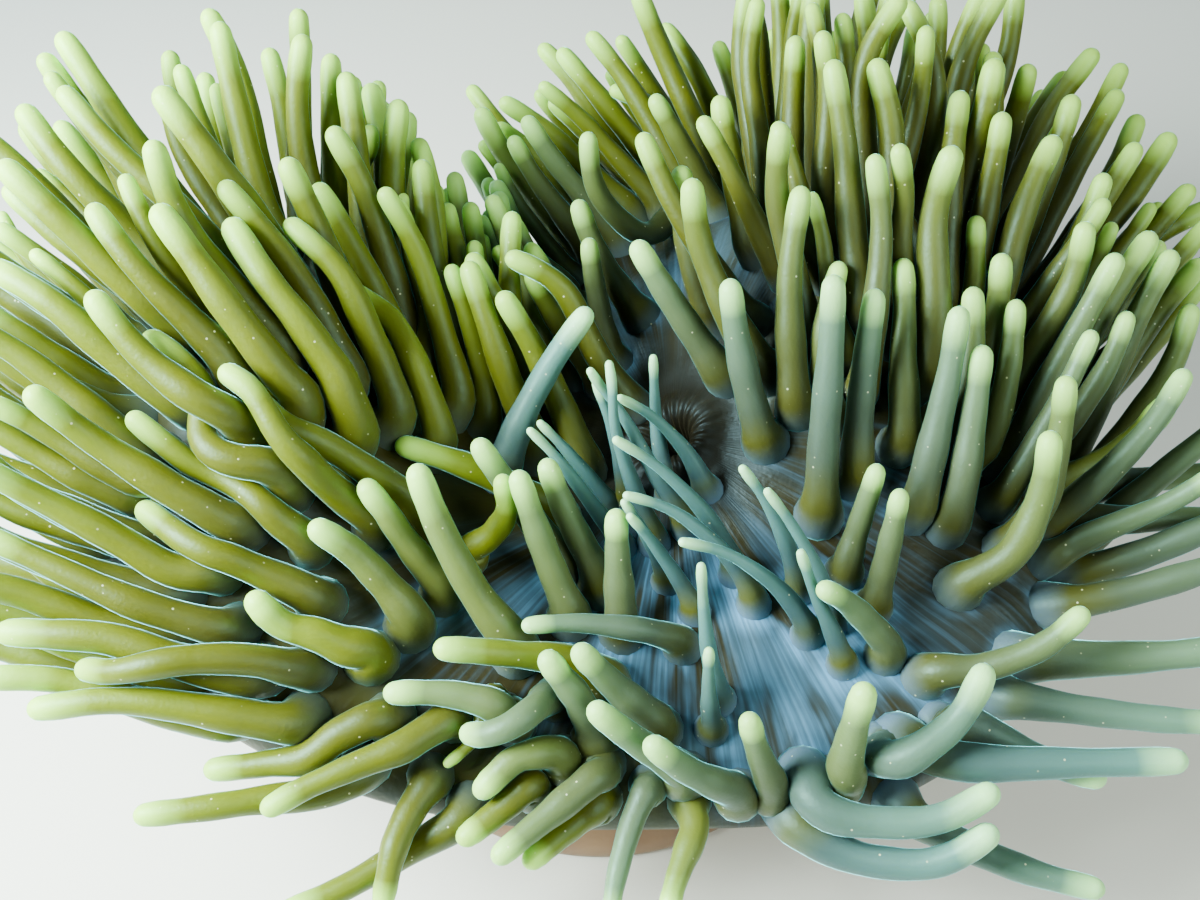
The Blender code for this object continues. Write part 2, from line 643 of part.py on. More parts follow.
def largest_surface(mesh):
    """keep only the mesh's closed surface that has the most points"""
    work = bmesh.new()
    work.from_mesh(mesh)
    left = set(work.verts)
    pieces = []
    while left:
        reached, front = set(), [left.pop()]
        while front:
            vert = front.pop()
            reached.add(vert)
            for edge in vert.link_edges:
                other = edge.other_vert(vert)
                if other in left:
                    left.remove(other)
                    front.append(other)
        pieces.append(reached)
    pieces.sort(key=len)
    bmesh.ops.delete(work, geom=[v for piece in pieces[:-1] for v in piece], context="VERTS")
    work.to_mesh(mesh)
    work.free()


def fuse(obj, cores):
    """one Boolean union of a node with its tentacles"""
    grown = bpy.data.collections.new("grown")
    for line, radius in cores:
        tube = add_object("tentacle", *tentacle_solid(line, radius))
        bpy.context.scene.collection.objects.unlink(tube)
        grown.objects.link(tube)
    bpy.context.scene.collection.children.link(grown)
    union = obj.modifiers.new("union", "BOOLEAN")
    union.operation = "UNION"
    union.operand_type = "COLLECTION"
    union.collection = grown
    whole = bpy.data.meshes.new_from_object(obj.evaluated_get(bpy.context.evaluated_depsgraph_get()))
    obj.modifiers.clear()
    largest_surface(whole)
    obj.data = whole
    for tube in list(grown.objects):
        bpy.data.objects.remove(tube, do_unlink=True)
    bpy.data.collections.remove(grown)


def node_of(u, angle):
    """the name of the node that a root stands on"""
    if u < BARE_RIM:
        return "oral_disc"
    degrees = math.degrees(angle) % 360
    for name, (first, last) in SECTORS.items():
        if first < degrees < last or first < degrees + 360 < last:
            return name
    raise ValueError("no sector at %.1f degrees" % degrees)


def main():
    for obj in list(bpy.data.objects):
        bpy.data.objects.remove(obj, do_unlink=True)
    tan = material("column_skin", COLUMN_TAN, 0.6)
    blue = material("disc_skin", SKIN_BLUE, 0.35)
    olive = material("tentacle_skin", OLIVE, 0.5)
    foot(tan)
    column(tan)
    mouth(material("lip_skin", LIP_BLUE, 0.35))
    carriers = {"oral_disc": oral_disc(blue)}
    for name, bounds in SECTORS.items():
        carriers[name] = sector(name, bounds, olive)
    u, angle, lines, radii = tentacles()
    cores = slimmed([tentacle_core(*row) for row in zip(u, angle, lines, radii)])
    names = [node_of(*root) for root in zip(u, angle)]
    for name, obj in carriers.items():
        fuse(obj, [core for core, owner in zip(cores, names) if owner == name])


main()
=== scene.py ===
"""The visible model of a magnificent sea anemone: one wet skin and all its tentacles.

Metres, +Z up, floor at z = 0, -Y toward the viewer. The skin is one closed surface from the
throat over the disc and its rolled margin down the column to the foot. The tentacles of the
solids are worked out again from the same sizes and the same random draws. More slender ones round
the mouth, a fringe on the margin and shorter, thinner ones that fill in are added to them.
"""

import math

import bpy
import numpy as np
from bpy.props import FloatProperty, FloatVectorProperty, PointerProperty
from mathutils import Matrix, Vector


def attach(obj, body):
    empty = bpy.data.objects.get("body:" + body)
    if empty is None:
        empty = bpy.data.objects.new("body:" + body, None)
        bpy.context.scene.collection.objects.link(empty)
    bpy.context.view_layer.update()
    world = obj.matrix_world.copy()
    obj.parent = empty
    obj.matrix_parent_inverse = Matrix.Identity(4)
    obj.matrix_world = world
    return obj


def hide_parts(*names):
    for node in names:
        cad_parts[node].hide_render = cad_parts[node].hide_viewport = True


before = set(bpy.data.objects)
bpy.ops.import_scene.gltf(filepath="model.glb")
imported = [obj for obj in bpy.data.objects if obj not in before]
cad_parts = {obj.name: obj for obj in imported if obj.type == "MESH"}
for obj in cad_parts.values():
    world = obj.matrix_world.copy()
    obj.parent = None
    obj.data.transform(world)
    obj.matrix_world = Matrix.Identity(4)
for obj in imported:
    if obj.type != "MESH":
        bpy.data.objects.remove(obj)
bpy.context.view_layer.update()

bl_info = {
    "name": "Sea anemone model",
    "version": (1, 0, 0),
    "blender": (4, 5, 0),
    "location": "View3D > Sidebar > Anemone",
    "description": "Makes the skin and the tentacles of a magnificent sea anemone and its stage",
    "category": "Object",
}

MM = 0.001

# the disc, as the solids have it: its middle, its reach to the margin and its folds
MOUTH = np.array([18.0, 4.0]) * MM
MOUTH_LEVEL = 76 * MM
DISC_REACH = 106 * MM
# each row: change of reach in mm, direction in degrees, spread in degrees
REACH_CHANGES = (
    (40, 192, 34), (14, 72, 30), (-46, 126, 16), (-15, 270, 32), (16, 26, 24), (14, 158, 16),
)
# each hill or hollow in mm: x, y, rise, spread along x, spread along y
FOLDS = ((-84, 6, 54, 44, 54), (62, 42, 46, 44, 50), (-38, 66, -28, 26, 34), (20, -86, -12, 60, 30))
ROLL_FROM = 0.74
ROLL_TURN = math.radians(80)
DISC_THICK = 7 * MM
MOUTH_RIM, BARE_RIM, COLUMN_RIM = 0.10, 0.34, 0.62
ROLL_GROWTH = 1.5
ROLL_STEPS = 101

# the groups of tentacles, one piece each, and the sectors of the solids that they stand for, with
# the sectors' bounds by direction in degrees
GROUPS = {
    "tentacles_far_fold": {"far_fold_right": (108, 126), "far_fold_left": (126, 144)},
    "tentacles_left_back": {"left_lobe_back": (144, 171), "left_lobe_side": (171, 198)},
    "tentacles_left_front": {"left_lobe_front": (198, 225), "near_margin_left": (225, 261)},
    "tentacles_near": {"near_margin_right": (261, 297), "right_lobe_front": (297, 333)},
    "tentacles_right": {"right_lobe_side": (333, 369), "right_lobe_back": (9, 45)},
    "tentacles_far": {"far_margin_right": (45, 72), "far_margin_left": (72, 108)},
}
INNER_GROUP = "tentacles_inner"

# the foot and the column
FOOT_RADIUS = 68 * MM
FOOT_NECK = 0.93
FOOT_TALL = 9 * MM

# tentacles of the solids: their size
ROOT_R, TIP_R = 4.1 * MM, 2.7 * MM
LONG_SPREAD, LONG_LIMITS = 4 * MM, (28 * MM, 66 * MM)
THICK_SPREAD = 0.06
# where they root
ROOT_SPACING = 10.2 * MM
ROOT_CLEAR = 1.0 * MM
ROOT_SUNK = 0.42
INNER_ROOT, OUTER_ROOT = MOUTH_RIM + 0.05, 0.965
DARTS = 6000
WALL_TURNS, WALL_POINTS = 361, 60
# how they leave the skin, and how far each strays from the comb low down, halfway and at the tip
POINTS = 12
RISE_SHARE, TURNED_SHARE = 0.18, 0.95
LOW_STRAY, MID_STRAY, TIP_STRAY = 0.10, 0.16, 0.20
# how they are pushed off each other, the skin and the floor
PUSH_GAP = 1.0 * MM
SKIN_GAP = 2.0 * MM
FLOOR_GAP = 3 * MM
PUSH_ROUNDS, PAIR_ROUNDS = 160, 8
PAIR_REACH = 3 * MM
STIFF = 0.1
LIFT_SHARE, LIFT_MOST = 0.6, 2 * MM
SLOPE_STEP, STEEPEST = 0.5 * MM, 2.0
SEED = 20

# the viewer looks down by this much; leans are measured in the viewer's picture
LOOK_DOWN = math.radians(50)
RIGHT = np.array([1.0, 0, 0])
UPWARD = np.array([0, math.sin(LOOK_DOWN), math.cos(LOOK_DOWN)])
TOWARD = np.array([0, -math.cos(LOOK_DOWN), math.sin(LOOK_DOWN)])

# the comb, how tentacles lie over the disc: x and y on the plan in mm, lean low down and at the tip
# in degrees anticlockwise from the viewer's right, share by which they come toward the viewer,
# length in mm
COMB_WIDE = 22 * MM
COMB = (
    (-102, 30, 124, 122, .25, 58), (-78, 52, 100, 96, .25, 60), (-58, 50, 84, 80, .25, 56),
    (-40, 35, 95, 95, .20, 50), (-62, -10, 118, 115, .25, 52), (-82, -25, 136, 133, .25, 52),
    (-110, -5, 142, 140, .20, 52), (-128, 5, 152, 150, .20, 50), (-72, -44, 151, 148, .20, 52),
    (-100, -42, 168, 165, .15, 52), (-58, -62, 175, 184, .15, 50), (-34, -66, 200, 207, .15, 50),
    (-9, -64, 190, 202, .20, 46), (-8, -82, 214, 220, .40, 42), (14, -88, 230, 250, .70, 36),
    (8, -62, 130, 122, .60, 38), (31, -84, 150, 140, .80, 36), (48, -94, 300, 320, .60, 40),
    (60, -70, 0, 55, .40, 44), (78, -82, -14, -8, .25, 52), (88, -60, 0, 16, .20, 52),
    (110, -34, 4, 22, .25, 52), (116, 2, 58, 62, .30, 52), (85, -20, 86, 86, .30, 52),
    (48, -12, 95, 95, .20, 52), (25, 25, 122, 120, .30, 52), (2, 60, 132, 130, .30, 52),
    (12, 100, 134, 130, .20, 56), (53, 68, 92, 92, .20, 58), (78, 45, 88, 88, .30, 56),
    (105, 70, 66, 68, .20, 58), (130, 40, 42, 40, .20, 54), (-22, 62, 110, 108, .20, 36),
)

# the tentacles that stand out in the pose: x, y and length in mm, lean low, halfway and at the tip,
# share toward the viewer, thickness, share of blue in the colour
PLACED = (
    (25, 82, 56, 232, 142, 94, .7, .95, .2), (-27, -7, 46, 70, 60, 52, .3, 1.0, .9),
    (33, 84, 36, 118, 122, 125, .4, 1.0, .1), (30, 31, 38, 114, 106, 95, .4, 1.05, .1),
    (12, 41, 34, 128, 122, 110, .4, 1.0, .2), (29, 13, 40, 128, 126, 124, .4, 1.05, .35),
    (7, 84, 44, 135, 132, 125, .3, 1.0, .3), (-6, 69, 36, 134, 130, 124, .3, 1.0, .35),
    (4, 25, 32, 104, 102, 98, .4, .9, .2), (40, 44, 38, 108, 105, 102, .35, 1.0, 0),
    (7, -11, 34, 100, 106, 112, .5, .62, 1), (26, -10, 36, 118, 135, 155, .5, .6, 1),
    (38, -38, 46, 122, 140, 165, .4, .62, 1), (45, -47, 44, 125, 145, 168, .4, .66, 1),
    (15, -32, 26, 115, 120, 125, .6, .6, 1), (27, -60, 38, 108, 98, 95, .5, .62, 1),
    (46, -36, 38, 108, 118, 130, .5, .66, 1), (55, -53, 34, 112, 116, 118, .5, .66, 1),
    (2, -12, 30, 125, 130, 135, .5, .6, 1), (40, -2, 42, 110, 106, 100, .5, 1.05, .5),
    (50, -15, 58, 92, 89, 92, .4, 1.05, .55), (60, -12, 46, 92, 88, 86, .4, 1.0, .5),
    (72, -22, 50, 80, 82, 88, .35, 1.0, .5), (82, -21, 44, 85, 88, 92, .35, 1.0, .4),
    (86, -31, 44, 30, 75, 92, .4, 1.05, .2), (96, -25, 44, 60, 85, 92, .4, 1.0, .2),
    (109, -8, 36, 20, 50, 62, .5, 1.15, .1), (57, -32, 28, 80, 78, 78, .5, .85, .3),
    (63, -40, 30, 82, 84, 85, .5, .85, .3), (65, -51, 30, 130, 138, 150, .5, .9, .4),
    (73, -56, 38, 5, 25, 50, .35, .95, .3), (54, -76, 34, 90, 88, 85, .8, 1.1, .3),
    (58, -72, 40, 8, 62, 96, .45, 1.1, .7), (66, -69, 60, -4, -2, 2, .15, 1.1, .9),
    (45, -75, 48, -24, 2, 42, .3, 1.1, .8), (42, -80, 48, -30, 0, 42, .3, 1.1, .9),
    (-1, -69, 28, 118, 118, 112, .6, 1.05, .35), (13, -66, 32, 135, 132, 128, .6, 1.05, .35),
    (19, -75, 34, 137, 137, 135, .6, 1.05, .4), (31, -78, 34, 148, 140, 132, .7, 1.05, .4),
    (-9, -60, 34, 200, 190, 186, .3, 1.0, .4), (-19, -66, 36, 160, 172, 180, .3, 1.0, .3),
    (-47, -57, 32, 195, 160, 90, .35, 1.15, 0), (19, -48, 40, 160, 178, 196, .35, .8, .5),
    (-31, -30, 26, 30, 60, 110, .5, .9, 0), (-10, -27, 38, 125, 125, 120, .4, 1.0, .3),
    (-7, -42, 38, 112, 110, 108, .4, 1.0, .3), (0, -34, 34, 118, 114, 108, .4, 1.0, .3),
    (5, -45, 30, 95, 93, 92, .4, 1.0, .3), (-19, -51, 50, 128, 116, 108, .35, 1.1, .2),
    (-38, -50, 34, 122, 130, 150, .4, 1.1, .15), (-36, -40, 34, 130, 128, 130, .4, 1.0, .15),
    (3, -73, 34, 212, 216, 220, .5, 1.0, .25), (11, -76, 34, 238, 252, 262, .5, .8, .5),
    (38, -78, 28, 112, 108, 104, .7, .95, .3), (-8, -73, 26, 188, 192, 196, .6, 1.05, .2),
    (-14, -78, 24, 205, 205, 205, .6, 1.0, 0), (-21, -63, 26, 246, 212, 186, .3, .7, 0),
    (-37, -77, 28, 240, 250, 258, .4, .95, 0), (76, -66, 38, -18, -16, -10, .2, 1.05, .7),
    (89, -58, 50, -8, -5, 0, .2, 1.0, .7), (66, -77, 46, -28, -20, -10, .2, 1.0, .7),
    (2, -79, 22, 208, 210, 215, .6, 1.0, 0), (25, -66, 24, 98, 95, 92, .6, .7, .9),
)
# patches of the disc with only placed tentacles, in mm: x, y, radius along x, radius along y
BARE_PATCHES = ((56, -38, 40, 31), (-22, -46, 24, 20), (22, -34, 30, 30), (19, 54, 26, 37),
                (40, -70, 16, 12))

# more slender ones round the mouth, with the same numbers
SLENDER = (
    (13, -22, 50, 112, 108, 100, .5, .60, 1), (21, -19, 50, 125, 118, 122, .5, .60, 1),
    (17, -10, 38, 100, 97, 95, .5, .58, 1), (32, -31, 50, 118, 135, 150, .5, .62, 1),
    (53, -44, 42, 108, 122, 130, .5, .62, 1), (5, -23, 40, 128, 125, 135, .5, .60, 1),
    (22, -40, 34, 122, 130, 140, .5, .60, 1),
)
# more short ones on the near margin, with the same numbers
FRINGE = (
    (14, -79, 30, 262, 275, 285, .5, .70, .6), (-6, -79, 22, 222, 225, 230, .7, .90, 0),
    (8, -80, 24, 228, 222, 216, .8, .90, .1), (20, -79, 26, 252, 262, 272, .9, .90, .1),
    (27, -80, 26, 240, 235, 230, .9, .90, 0), (33, -79, 24, 275, 270, 268, 1.0, .90, .2),
    (46, -78, 24, 262, 255, 250, 1.0, .90, .1), (52, -77, 26, 290, 284, 280, .9, .90, .1),
    (60, -75, 30, 300, 296, 290, .8, .90, .1), (-30, -74, 28, 222, 220, 216, .6, .95, 0),
    (-46, -70, 30, 214, 212, 208, .5, .95, 0),
    (98, -27, 50, -8, -4, 0, .15, 1.0, .5), (95, -38, 44, -14, 8, 58, .3, 1.05, .4),
    (97, -47, 46, -20, 6, 18, .25, 1.05, .5), (110, -14, 44, -2, 0, 4, .2, 1.0, .35),
    (117, -3, 42, 8, 8, 10, .2, 1.0, .3), (117, 8, 42, 14, 12, 12, .2, 1.0, .2),
    (104, -34, 46, -10, -8, -6, .1, 1.0, .5), (102, -44, 46, -18, -14, -10, .1, 1.0, .5),
    (112, -22, 42, -6, -4, 0, .1, 1.0, .4),
)
# where the other tentacles are bluer: x, y and width in mm, share; the first patch, in the fold behind
# the left lobe, is painted shade that turns them darker teal
BLUE_AND_SHADE_PATCHES = (
    (-22, 62, 28, .55), (108, -26, 34, .45), (92, -66, 46, .60), (58, -24, 34, .30),
    (28, -92, 22, .30),
)
# where all tentacles are browner, in the same way: partly their own tone, partly painted shade that
# keeps them darker, mostly on the right lobe
BROWN_AND_SHADE_PATCHES = ((75, 45, 62, .95), (22, 40, 40, .90), (58, -14, 30, .75), (-60, 0, 26, .15))
# where the disc is milkiest, in the same way: partly its own pale blue and partly painted highlight
MILKY_AND_HIGHLIGHT_PATCHES = (
    (24, -30, 21, .9), (12, -46, 20, .6), (40, -64, 20, .9), (56, -56, 18, .7), (-14, -33, 18, .7),
    (34, -14, 10, .5), (19, 54, 20, .4), (4, 22, 14, .4),
)

# the tentacles that fill in: spacing of roots, size and length against the others
FILL_SPACING = 7.6 * MM
FILL_THICK, FILL_LONG = 0.84, 0.84
FILL_BEND = math.radians(38)
FILL_SEED = 31
# the tone that each tentacle draws: 1 is olive, and less is browner; the browner patches lower it
# further, which is partly painted shade
TONES = (0.3, 1.0)
TONE_SEED = SEED + 5

# a tentacle's surface: sides and rings, length of the round tip against its radius, flare of the
# root, bulb near the tip, what is stout or slender and how these taper, and uneven girth, all as
# shares of the length or of the radius
SIDES = 14
RINGS = 28
CAP_RINGS, CAP_LONG = 5, 1.15
FLARE, FLARE_LONG = 0.34, 0.11
BULB, BULB_AT, BULB_LONG = 0.09, 0.95, 0.06
STOUT, SLENDER_BELOW = 0.85, 0.68
TAPER, SLENDER_TAPER = 0.75, 0.42
SLENDER_THIN, SLENDER_BULB = 0.4, 0.15
WAVER = 0.045
# a tentacle's patch in the UV map, and the disc's reach there
UV_PATCH = 0.016
UV_REACH = 0.47

# the skin's surface: its points round and its rows, then the relief of each part
TURNS = 640
DISC_ROWS, EDGE_ROWS, UNDER_ROWS, COLUMN_ROWS = 56, 7, 16, 56
ROW_GROWTH = 1.15
LIP_AT, LIP_WIDE, LIP_TALL = 0.072, 0.030, 2.6 * MM
THROAT_AT, THROAT_DEEP = 0.045, 14 * MM
THROAT_PLEATS, PLEAT_TALL = 22, 0.4 * MM
RIBS, BROAD_RIBS = 118, 37
SWELL_TALL = 0.5 * MM
WARTS_ROUND, WARTS_UP = 56, 15
FURROW_TALL = 0.6 * MM
EASE_ROWS, EASE_PASSES = 9, 14
# how far a root colours the skin round it: milky blue that is partly painted highlight, and close in a
# ring of painted shade
COLLAR = 8 * MM
# the foot's rounded edge and flat underside: shares of FOOT_RADIUS and of FOOT_TALL
FOOT_PROFILE = (
    (0.955, 0.86), (0.98, 0.72), (0.995, 0.55), (1.0, 0.35), (0.997, 0.18), (0.985, 0.06),
    (0.96, 0), (0.66, 0), (0.33, 0),
)
# how far down the body the edge, the lower face and the column end, as their colours see it
EDGE_END, UNDER_END, COLUMN_END = 0.03, 0.30, 0.85

# the stage: the floor's half width, the sky's colour, and each light's place, size, power setting,
# share of that power, and colour
FLOOR_HALF = 3.0
SKY_COLOUR = (0.95, 0.98, 1.0, 1)
LIGHTS = {
    "key": ((-0.34, -0.10, 0.36), 0.24, "key_power", 1.0, (0.88, 1.0, 0.90)),
    "fill": ((0.40, -0.30, 0.44), 0.4, "fill_power", 1.0, (0.94, 1.0, 0.86)),
    "rim_right": ((0.55, 0.50, 0.35), 0.3, "rim_power", 0.3, (0.60, 0.92, 1.0)),
    "rim_left": ((-0.50, 0.55, 0.35), 0.3, "rim_power", 1.0, (0.60, 0.92, 1.0)),
}

# the view: what the camera looks at, from how far, and how wide it sees
VIEW_TARGET = (0, -4 * MM, 92 * MM)
VIEW_AWAY = 310 * MM
VIEW_WIDE = math.radians(50)
SENSOR = 36.0


def unit(v):
    """vectors over their lengths"""
    return v / np.maximum(np.linalg.norm(v, axis=-1, keepdims=True), 1e-12)


def smooth(t):
    """3t^2 - 2t^3, which is level at 0 and at 1"""
    return t * t * (3 - 2 * t)


def rising(value, low, high):
    """0 below low, 1 above high and 3t^2 - 2t^3 between them"""
    return smooth(np.clip((value - low) / (high - low), 0, 1))


def turn_between(angle, other):
    """the shorter way round from other to angle"""
    return (angle - other + np.pi) % (2 * np.pi) - np.pi


def margin_reach(angle):
    """the disc's reach from the mouth: a mean with a bell-shaped change for each lobe and notch"""
    reach = np.full(np.shape(angle), DISC_REACH)
    for change, centre, spread in REACH_CHANGES:
        away = turn_between(angle, math.radians(centre)) / math.radians(spread)
        reach = reach + change * MM * np.exp(-(away ** 2))
    return reach


def disc_level(x, y):
    """the disc's height before its rim turns down: a level with a bell-shaped hill for each fold"""
    level = np.full(np.shape(x), MOUTH_LEVEL)
    for at_x, at_y, rise, wide_x, wide_y in FOLDS:
        off_x, off_y = (x / MM - at_x) / wide_x, (y / MM - at_y) / wide_y
        level = level + rise * MM * np.exp(-(off_x ** 2) - off_y ** 2)
    return level


def rolled_rim():
    """outward and downward travel, for a reach of 1, of a rim that turns down past ROLL_FROM"""
    steps = np.linspace(0, 1, ROLL_STEPS)
    turn = ROLL_TURN * np.clip((steps - ROLL_FROM) / (1 - ROLL_FROM), 0, 1) ** ROLL_GROWTH
    middle = (turn[1:] + turn[:-1]) / 2
    out = np.concatenate([[0], np.cumsum(np.cos(middle))]) / (ROLL_STEPS - 1)
    down = np.concatenate([[0], np.cumsum(np.sin(middle))]) / (ROLL_STEPS - 1)
    return steps, out, down


RIM_STEPS, RIM_OUT, RIM_DOWN = rolled_rim()


def disc_point(u, angle):
    """the disc's surface: outward from the mouth by the rim's travel, at the folds' height"""
    reach = margin_reach(angle)
    out = reach * np.interp(u, RIM_STEPS, RIM_OUT)
    x = MOUTH[0] + out * np.cos(angle)
    y = MOUTH[1] + out * np.sin(angle)
    return np.stack([x, y, disc_level(x, y) - reach * np.interp(u, RIM_STEPS, RIM_DOWN)], -1)


def disc_normal(u, angle):
    """the cross product of the surface's small steps along u and along the angle"""
    step = 1e-3
    u = np.clip(u, 0.02, 1 - step)
    along = disc_point(u + step, angle) - disc_point(u - step, angle)
    across = disc_point(u, angle + step) - disc_point(u, angle - step)
    return unit(np.cross(along, across))


def thin_share(u, angle):
    """the disc's thickness against DISC_THICK: thinner where its reach is short"""
    return 1 + (margin_reach(angle) / DISC_REACH - 1) * np.clip(u / BARE_RIM, 0, 1)


def below_disc(u, angle, depth):
    """the disc's surface sunk by depth, in proportion to its thickness"""
    depth = depth * thin_share(u, angle)
    return disc_point(u, angle) - disc_normal(u, angle) * np.asarray(depth)[..., None]


def over_plan(x, y):
    """u and angle of the disc over plan points, and the points' share of the reach"""
    angle = np.arctan2(y - MOUTH[1], x - MOUTH[0]) % (2 * np.pi)
    share = np.hypot(x - MOUTH[0], y - MOUTH[1]) / margin_reach(angle)
    return np.interp(share, RIM_OUT, RIM_STEPS), angle, share


def skin_level(x, y):
    """height of the disc's skin over plan points, and whether they lie inside the margin"""
    u, angle, share = over_plan(x, y)
    down = margin_reach(angle) * np.interp(u, RIM_STEPS, RIM_DOWN)
    return disc_level(x, y) - down, share < RIM_OUT[-1]


def seen(lean, toward):
    """a direction that the viewer sees at this lean in degrees, coming this much toward them"""
    lean = np.radians(lean)[..., None]
    return unit(RIGHT * np.cos(lean) + UPWARD * np.sin(lean) + TOWARD * toward[..., None])


def comb(x, y):
    """low and tip directions and length of the tentacles that root over these plan points: means
    of the comb's rows, weighted by a bell curve of how far each lies, with a faint and wider bell
    added for points far from every row"""
    row_x, row_y, low, tip, toward, length = np.array(COMB).T
    away = (x[:, None] - row_x * MM) ** 2 + (y[:, None] - row_y * MM) ** 2
    share = np.exp(-away / COMB_WIDE ** 2) + 1e-6 * np.exp(-away / (3 * COMB_WIDE) ** 2)
    share /= share.sum(1, keepdims=True)
    return unit(share @ seen(low, toward)), unit(share @ seen(tip, toward)), share @ length * MM


def centre_lines(u, angle, ways, length):
    """lines that leave the skin along its normal and turn through the ways in order"""
    s = np.linspace(0, 1, POINTS)
    last = ways.shape[1] - 1
    t = np.clip((s - RISE_SHARE) / (TURNED_SHARE - RISE_SHARE), 0, 1) * last
    k = np.minimum(t.astype(int), last - 1)
    f = smooth(t - k)[None, :, None]
    way = ways[:, k] * (1 - f) + ways[:, k + 1] * f
    rise = np.clip(s / RISE_SHARE, 0, 1)[None, :, None]
    way = unit((1 - rise) * disc_normal(u, angle)[:, None] + rise * way)
    steps = unit(way[:, 1:] + way[:, :-1]) * (length / (POINTS - 1))[:, None, None]
    walk = np.concatenate([np.zeros((len(u), 1, 3)), np.cumsum(steps, 1)], 1)
    return disc_point(u, angle)[:, None] + walk


def wall_angles():
    """the directions of the walls between the solids' sectors"""
    bounds = [pair for group in GROUPS.values() for pair in group.values()]
    return np.radians(sorted({edge % 360 for pair in bounds for edge in pair}))


def wall_distance(points):
    """how far points of the skin lie from the nearest wall between the solids' nodes"""
    turn = np.linspace(0, 2 * np.pi, WALL_TURNS)
    walls = [disc_point(np.full(turn.shape, u), turn) for u in (MOUTH_RIM, BARE_RIM)]
    levels = np.linspace(BARE_RIM, 1, WALL_POINTS)
    walls += [disc_point(levels, np.full(levels.shape, edge)) for edge in wall_angles()]
    walls = np.concatenate(walls)
    return np.array([np.sqrt(((walls - point) ** 2).sum(1).min()) for point in points])


def clear_of_walls(u, angle, radius):
    """roots moved sideways until they clear the walls between the solids' nodes"""
    reach = margin_reach(angle)
    need = radius + ROOT_CLEAR
    off = (u - BARE_RIM) * reach
    moved = BARE_RIM + np.where(off < 0, -need, need) / reach
    u = np.where(np.abs(off) < need, moved, u)
    u = np.maximum(u, MOUTH_RIM + need / reach)
    away = turn_between(angle[:, None], wall_angles())
    away = away[np.arange(len(u)), np.abs(away).argmin(1)]
    least = need / (u * reach)
    crossing = (np.abs(away) < least) & (u > BARE_RIM)
    return u, angle + np.where(crossing, np.where(away < 0, -least, least) - away, 0)


def placed_tentacles(rows):
    """roots, lines, thickness and blue of the tentacles that are placed one by one"""
    x, y, length, low, mid, tip, toward, thick, blue = np.array(rows).T
    u, angle = over_plan(x * MM, y * MM)[:2]
    u, angle = clear_of_walls(u, angle, ROOT_R * thick)
    ways = np.stack([seen(low, toward), seen(mid, toward), seen(tip, toward)], 1)
    return u, angle, centre_lines(u, angle, ways, length * MM), thick, blue


def bare_distance(points):
    """how far points lie from the middle of the nearest bare patch, its own edge being at 1"""
    x, y = points[..., 0] / MM, points[..., 1] / MM
    return np.min([np.hypot((x - at_x) / wide_x, (y - at_y) / wide_y)
                   for at_x, at_y, wide_x, wide_y in BARE_PATCHES], 0)


def thrown_roots(seed, inner, taken, spacing, wall_gap):
    """roots thrown over the disc like darts, kept where none stands within the spacing"""
    rng = np.random.default_rng(seed)
    u = np.sqrt(rng.uniform(inner ** 2, 1.0, DARTS)) * OUTER_ROOT
    angle = rng.uniform(0, 2 * np.pi, DARTS)
    points = disc_point(u, angle)
    good = (wall_distance(points) > wall_gap) & (bare_distance(points) > 1)
    stand = list(taken)
    kept = []
    for i in np.flatnonzero(good):
        if min(np.sum((np.array(stand) - points[i]) ** 2, 1)) > spacing ** 2:
            stand.append(points[i])
            kept.append(i)
    return u[kept], angle[kept]


def combed_tentacles(seed, u, angle, long_share, thick_share):
    """lines and thickness of tentacles that follow the comb, varied at random"""
    rng = np.random.default_rng(seed)
    count = len(u)
    root = disc_point(u, angle)
    low, tip, length = comb(root[:, 0], root[:, 1])
    low = unit(low + rng.normal(0, LOW_STRAY, (count, 3)))
    mid = unit(low + tip + rng.normal(0, MID_STRAY, (count, 3)))
    tip = unit(tip + rng.normal(0, TIP_STRAY, (count, 3)))
    length = np.clip(length + rng.normal(0, LONG_SPREAD, count), *LONG_LIMITS) * long_share
    thick = (1 + rng.normal(0, THICK_SPREAD, count)) * thick_share
    return centre_lines(u, angle, np.stack([low, mid, tip], 1), length), thick


def close_pairs(points, owner, reach):
    """pairs of points of different owners that lie nearer than reach"""
    order = np.argsort(points[:, 0], kind="stable")
    last = np.searchsorted(points[order, 0], points[order, 0] + reach, side="right")
    first, second = [np.zeros(0, int)], [np.zeros(0, int)]
    for k, i in enumerate(order):
        near = order[k + 1:last[k]]
        away = points[near] - points[i]
        hit = near[((away * away).sum(1) < reach * reach) & (owner[near] != owner[i])]
        first.append(np.full(len(hit), i))
        second.append(hit)
    return np.concatenate(first), np.concatenate(second)


def lift_off_skin(flat, radius, free):
    """points raised a little toward the height at which they clear the disc's skin, whose slope
    is read by small steps, and the floor"""
    x, y = flat[:, 0], flat[:, 1]
    level, inside = skin_level(x, y)
    slope_x = (skin_level(x + SLOPE_STEP, y)[0] - level) / SLOPE_STEP
    slope_y = (skin_level(x, y + SLOPE_STEP)[0] - level) / SLOPE_STEP
    steep = np.sqrt(1 + np.minimum(slope_x ** 2 + slope_y ** 2, STEEPEST ** 2))
    low = np.where(inside, level + (radius + SKIN_GAP) * steep, 0)
    low = np.maximum(low, radius + FLOOR_GAP)
    flat[:, 2] += LIFT_SHARE * np.clip(low - flat[:, 2], 0, LIFT_MOST) * (free > 0)


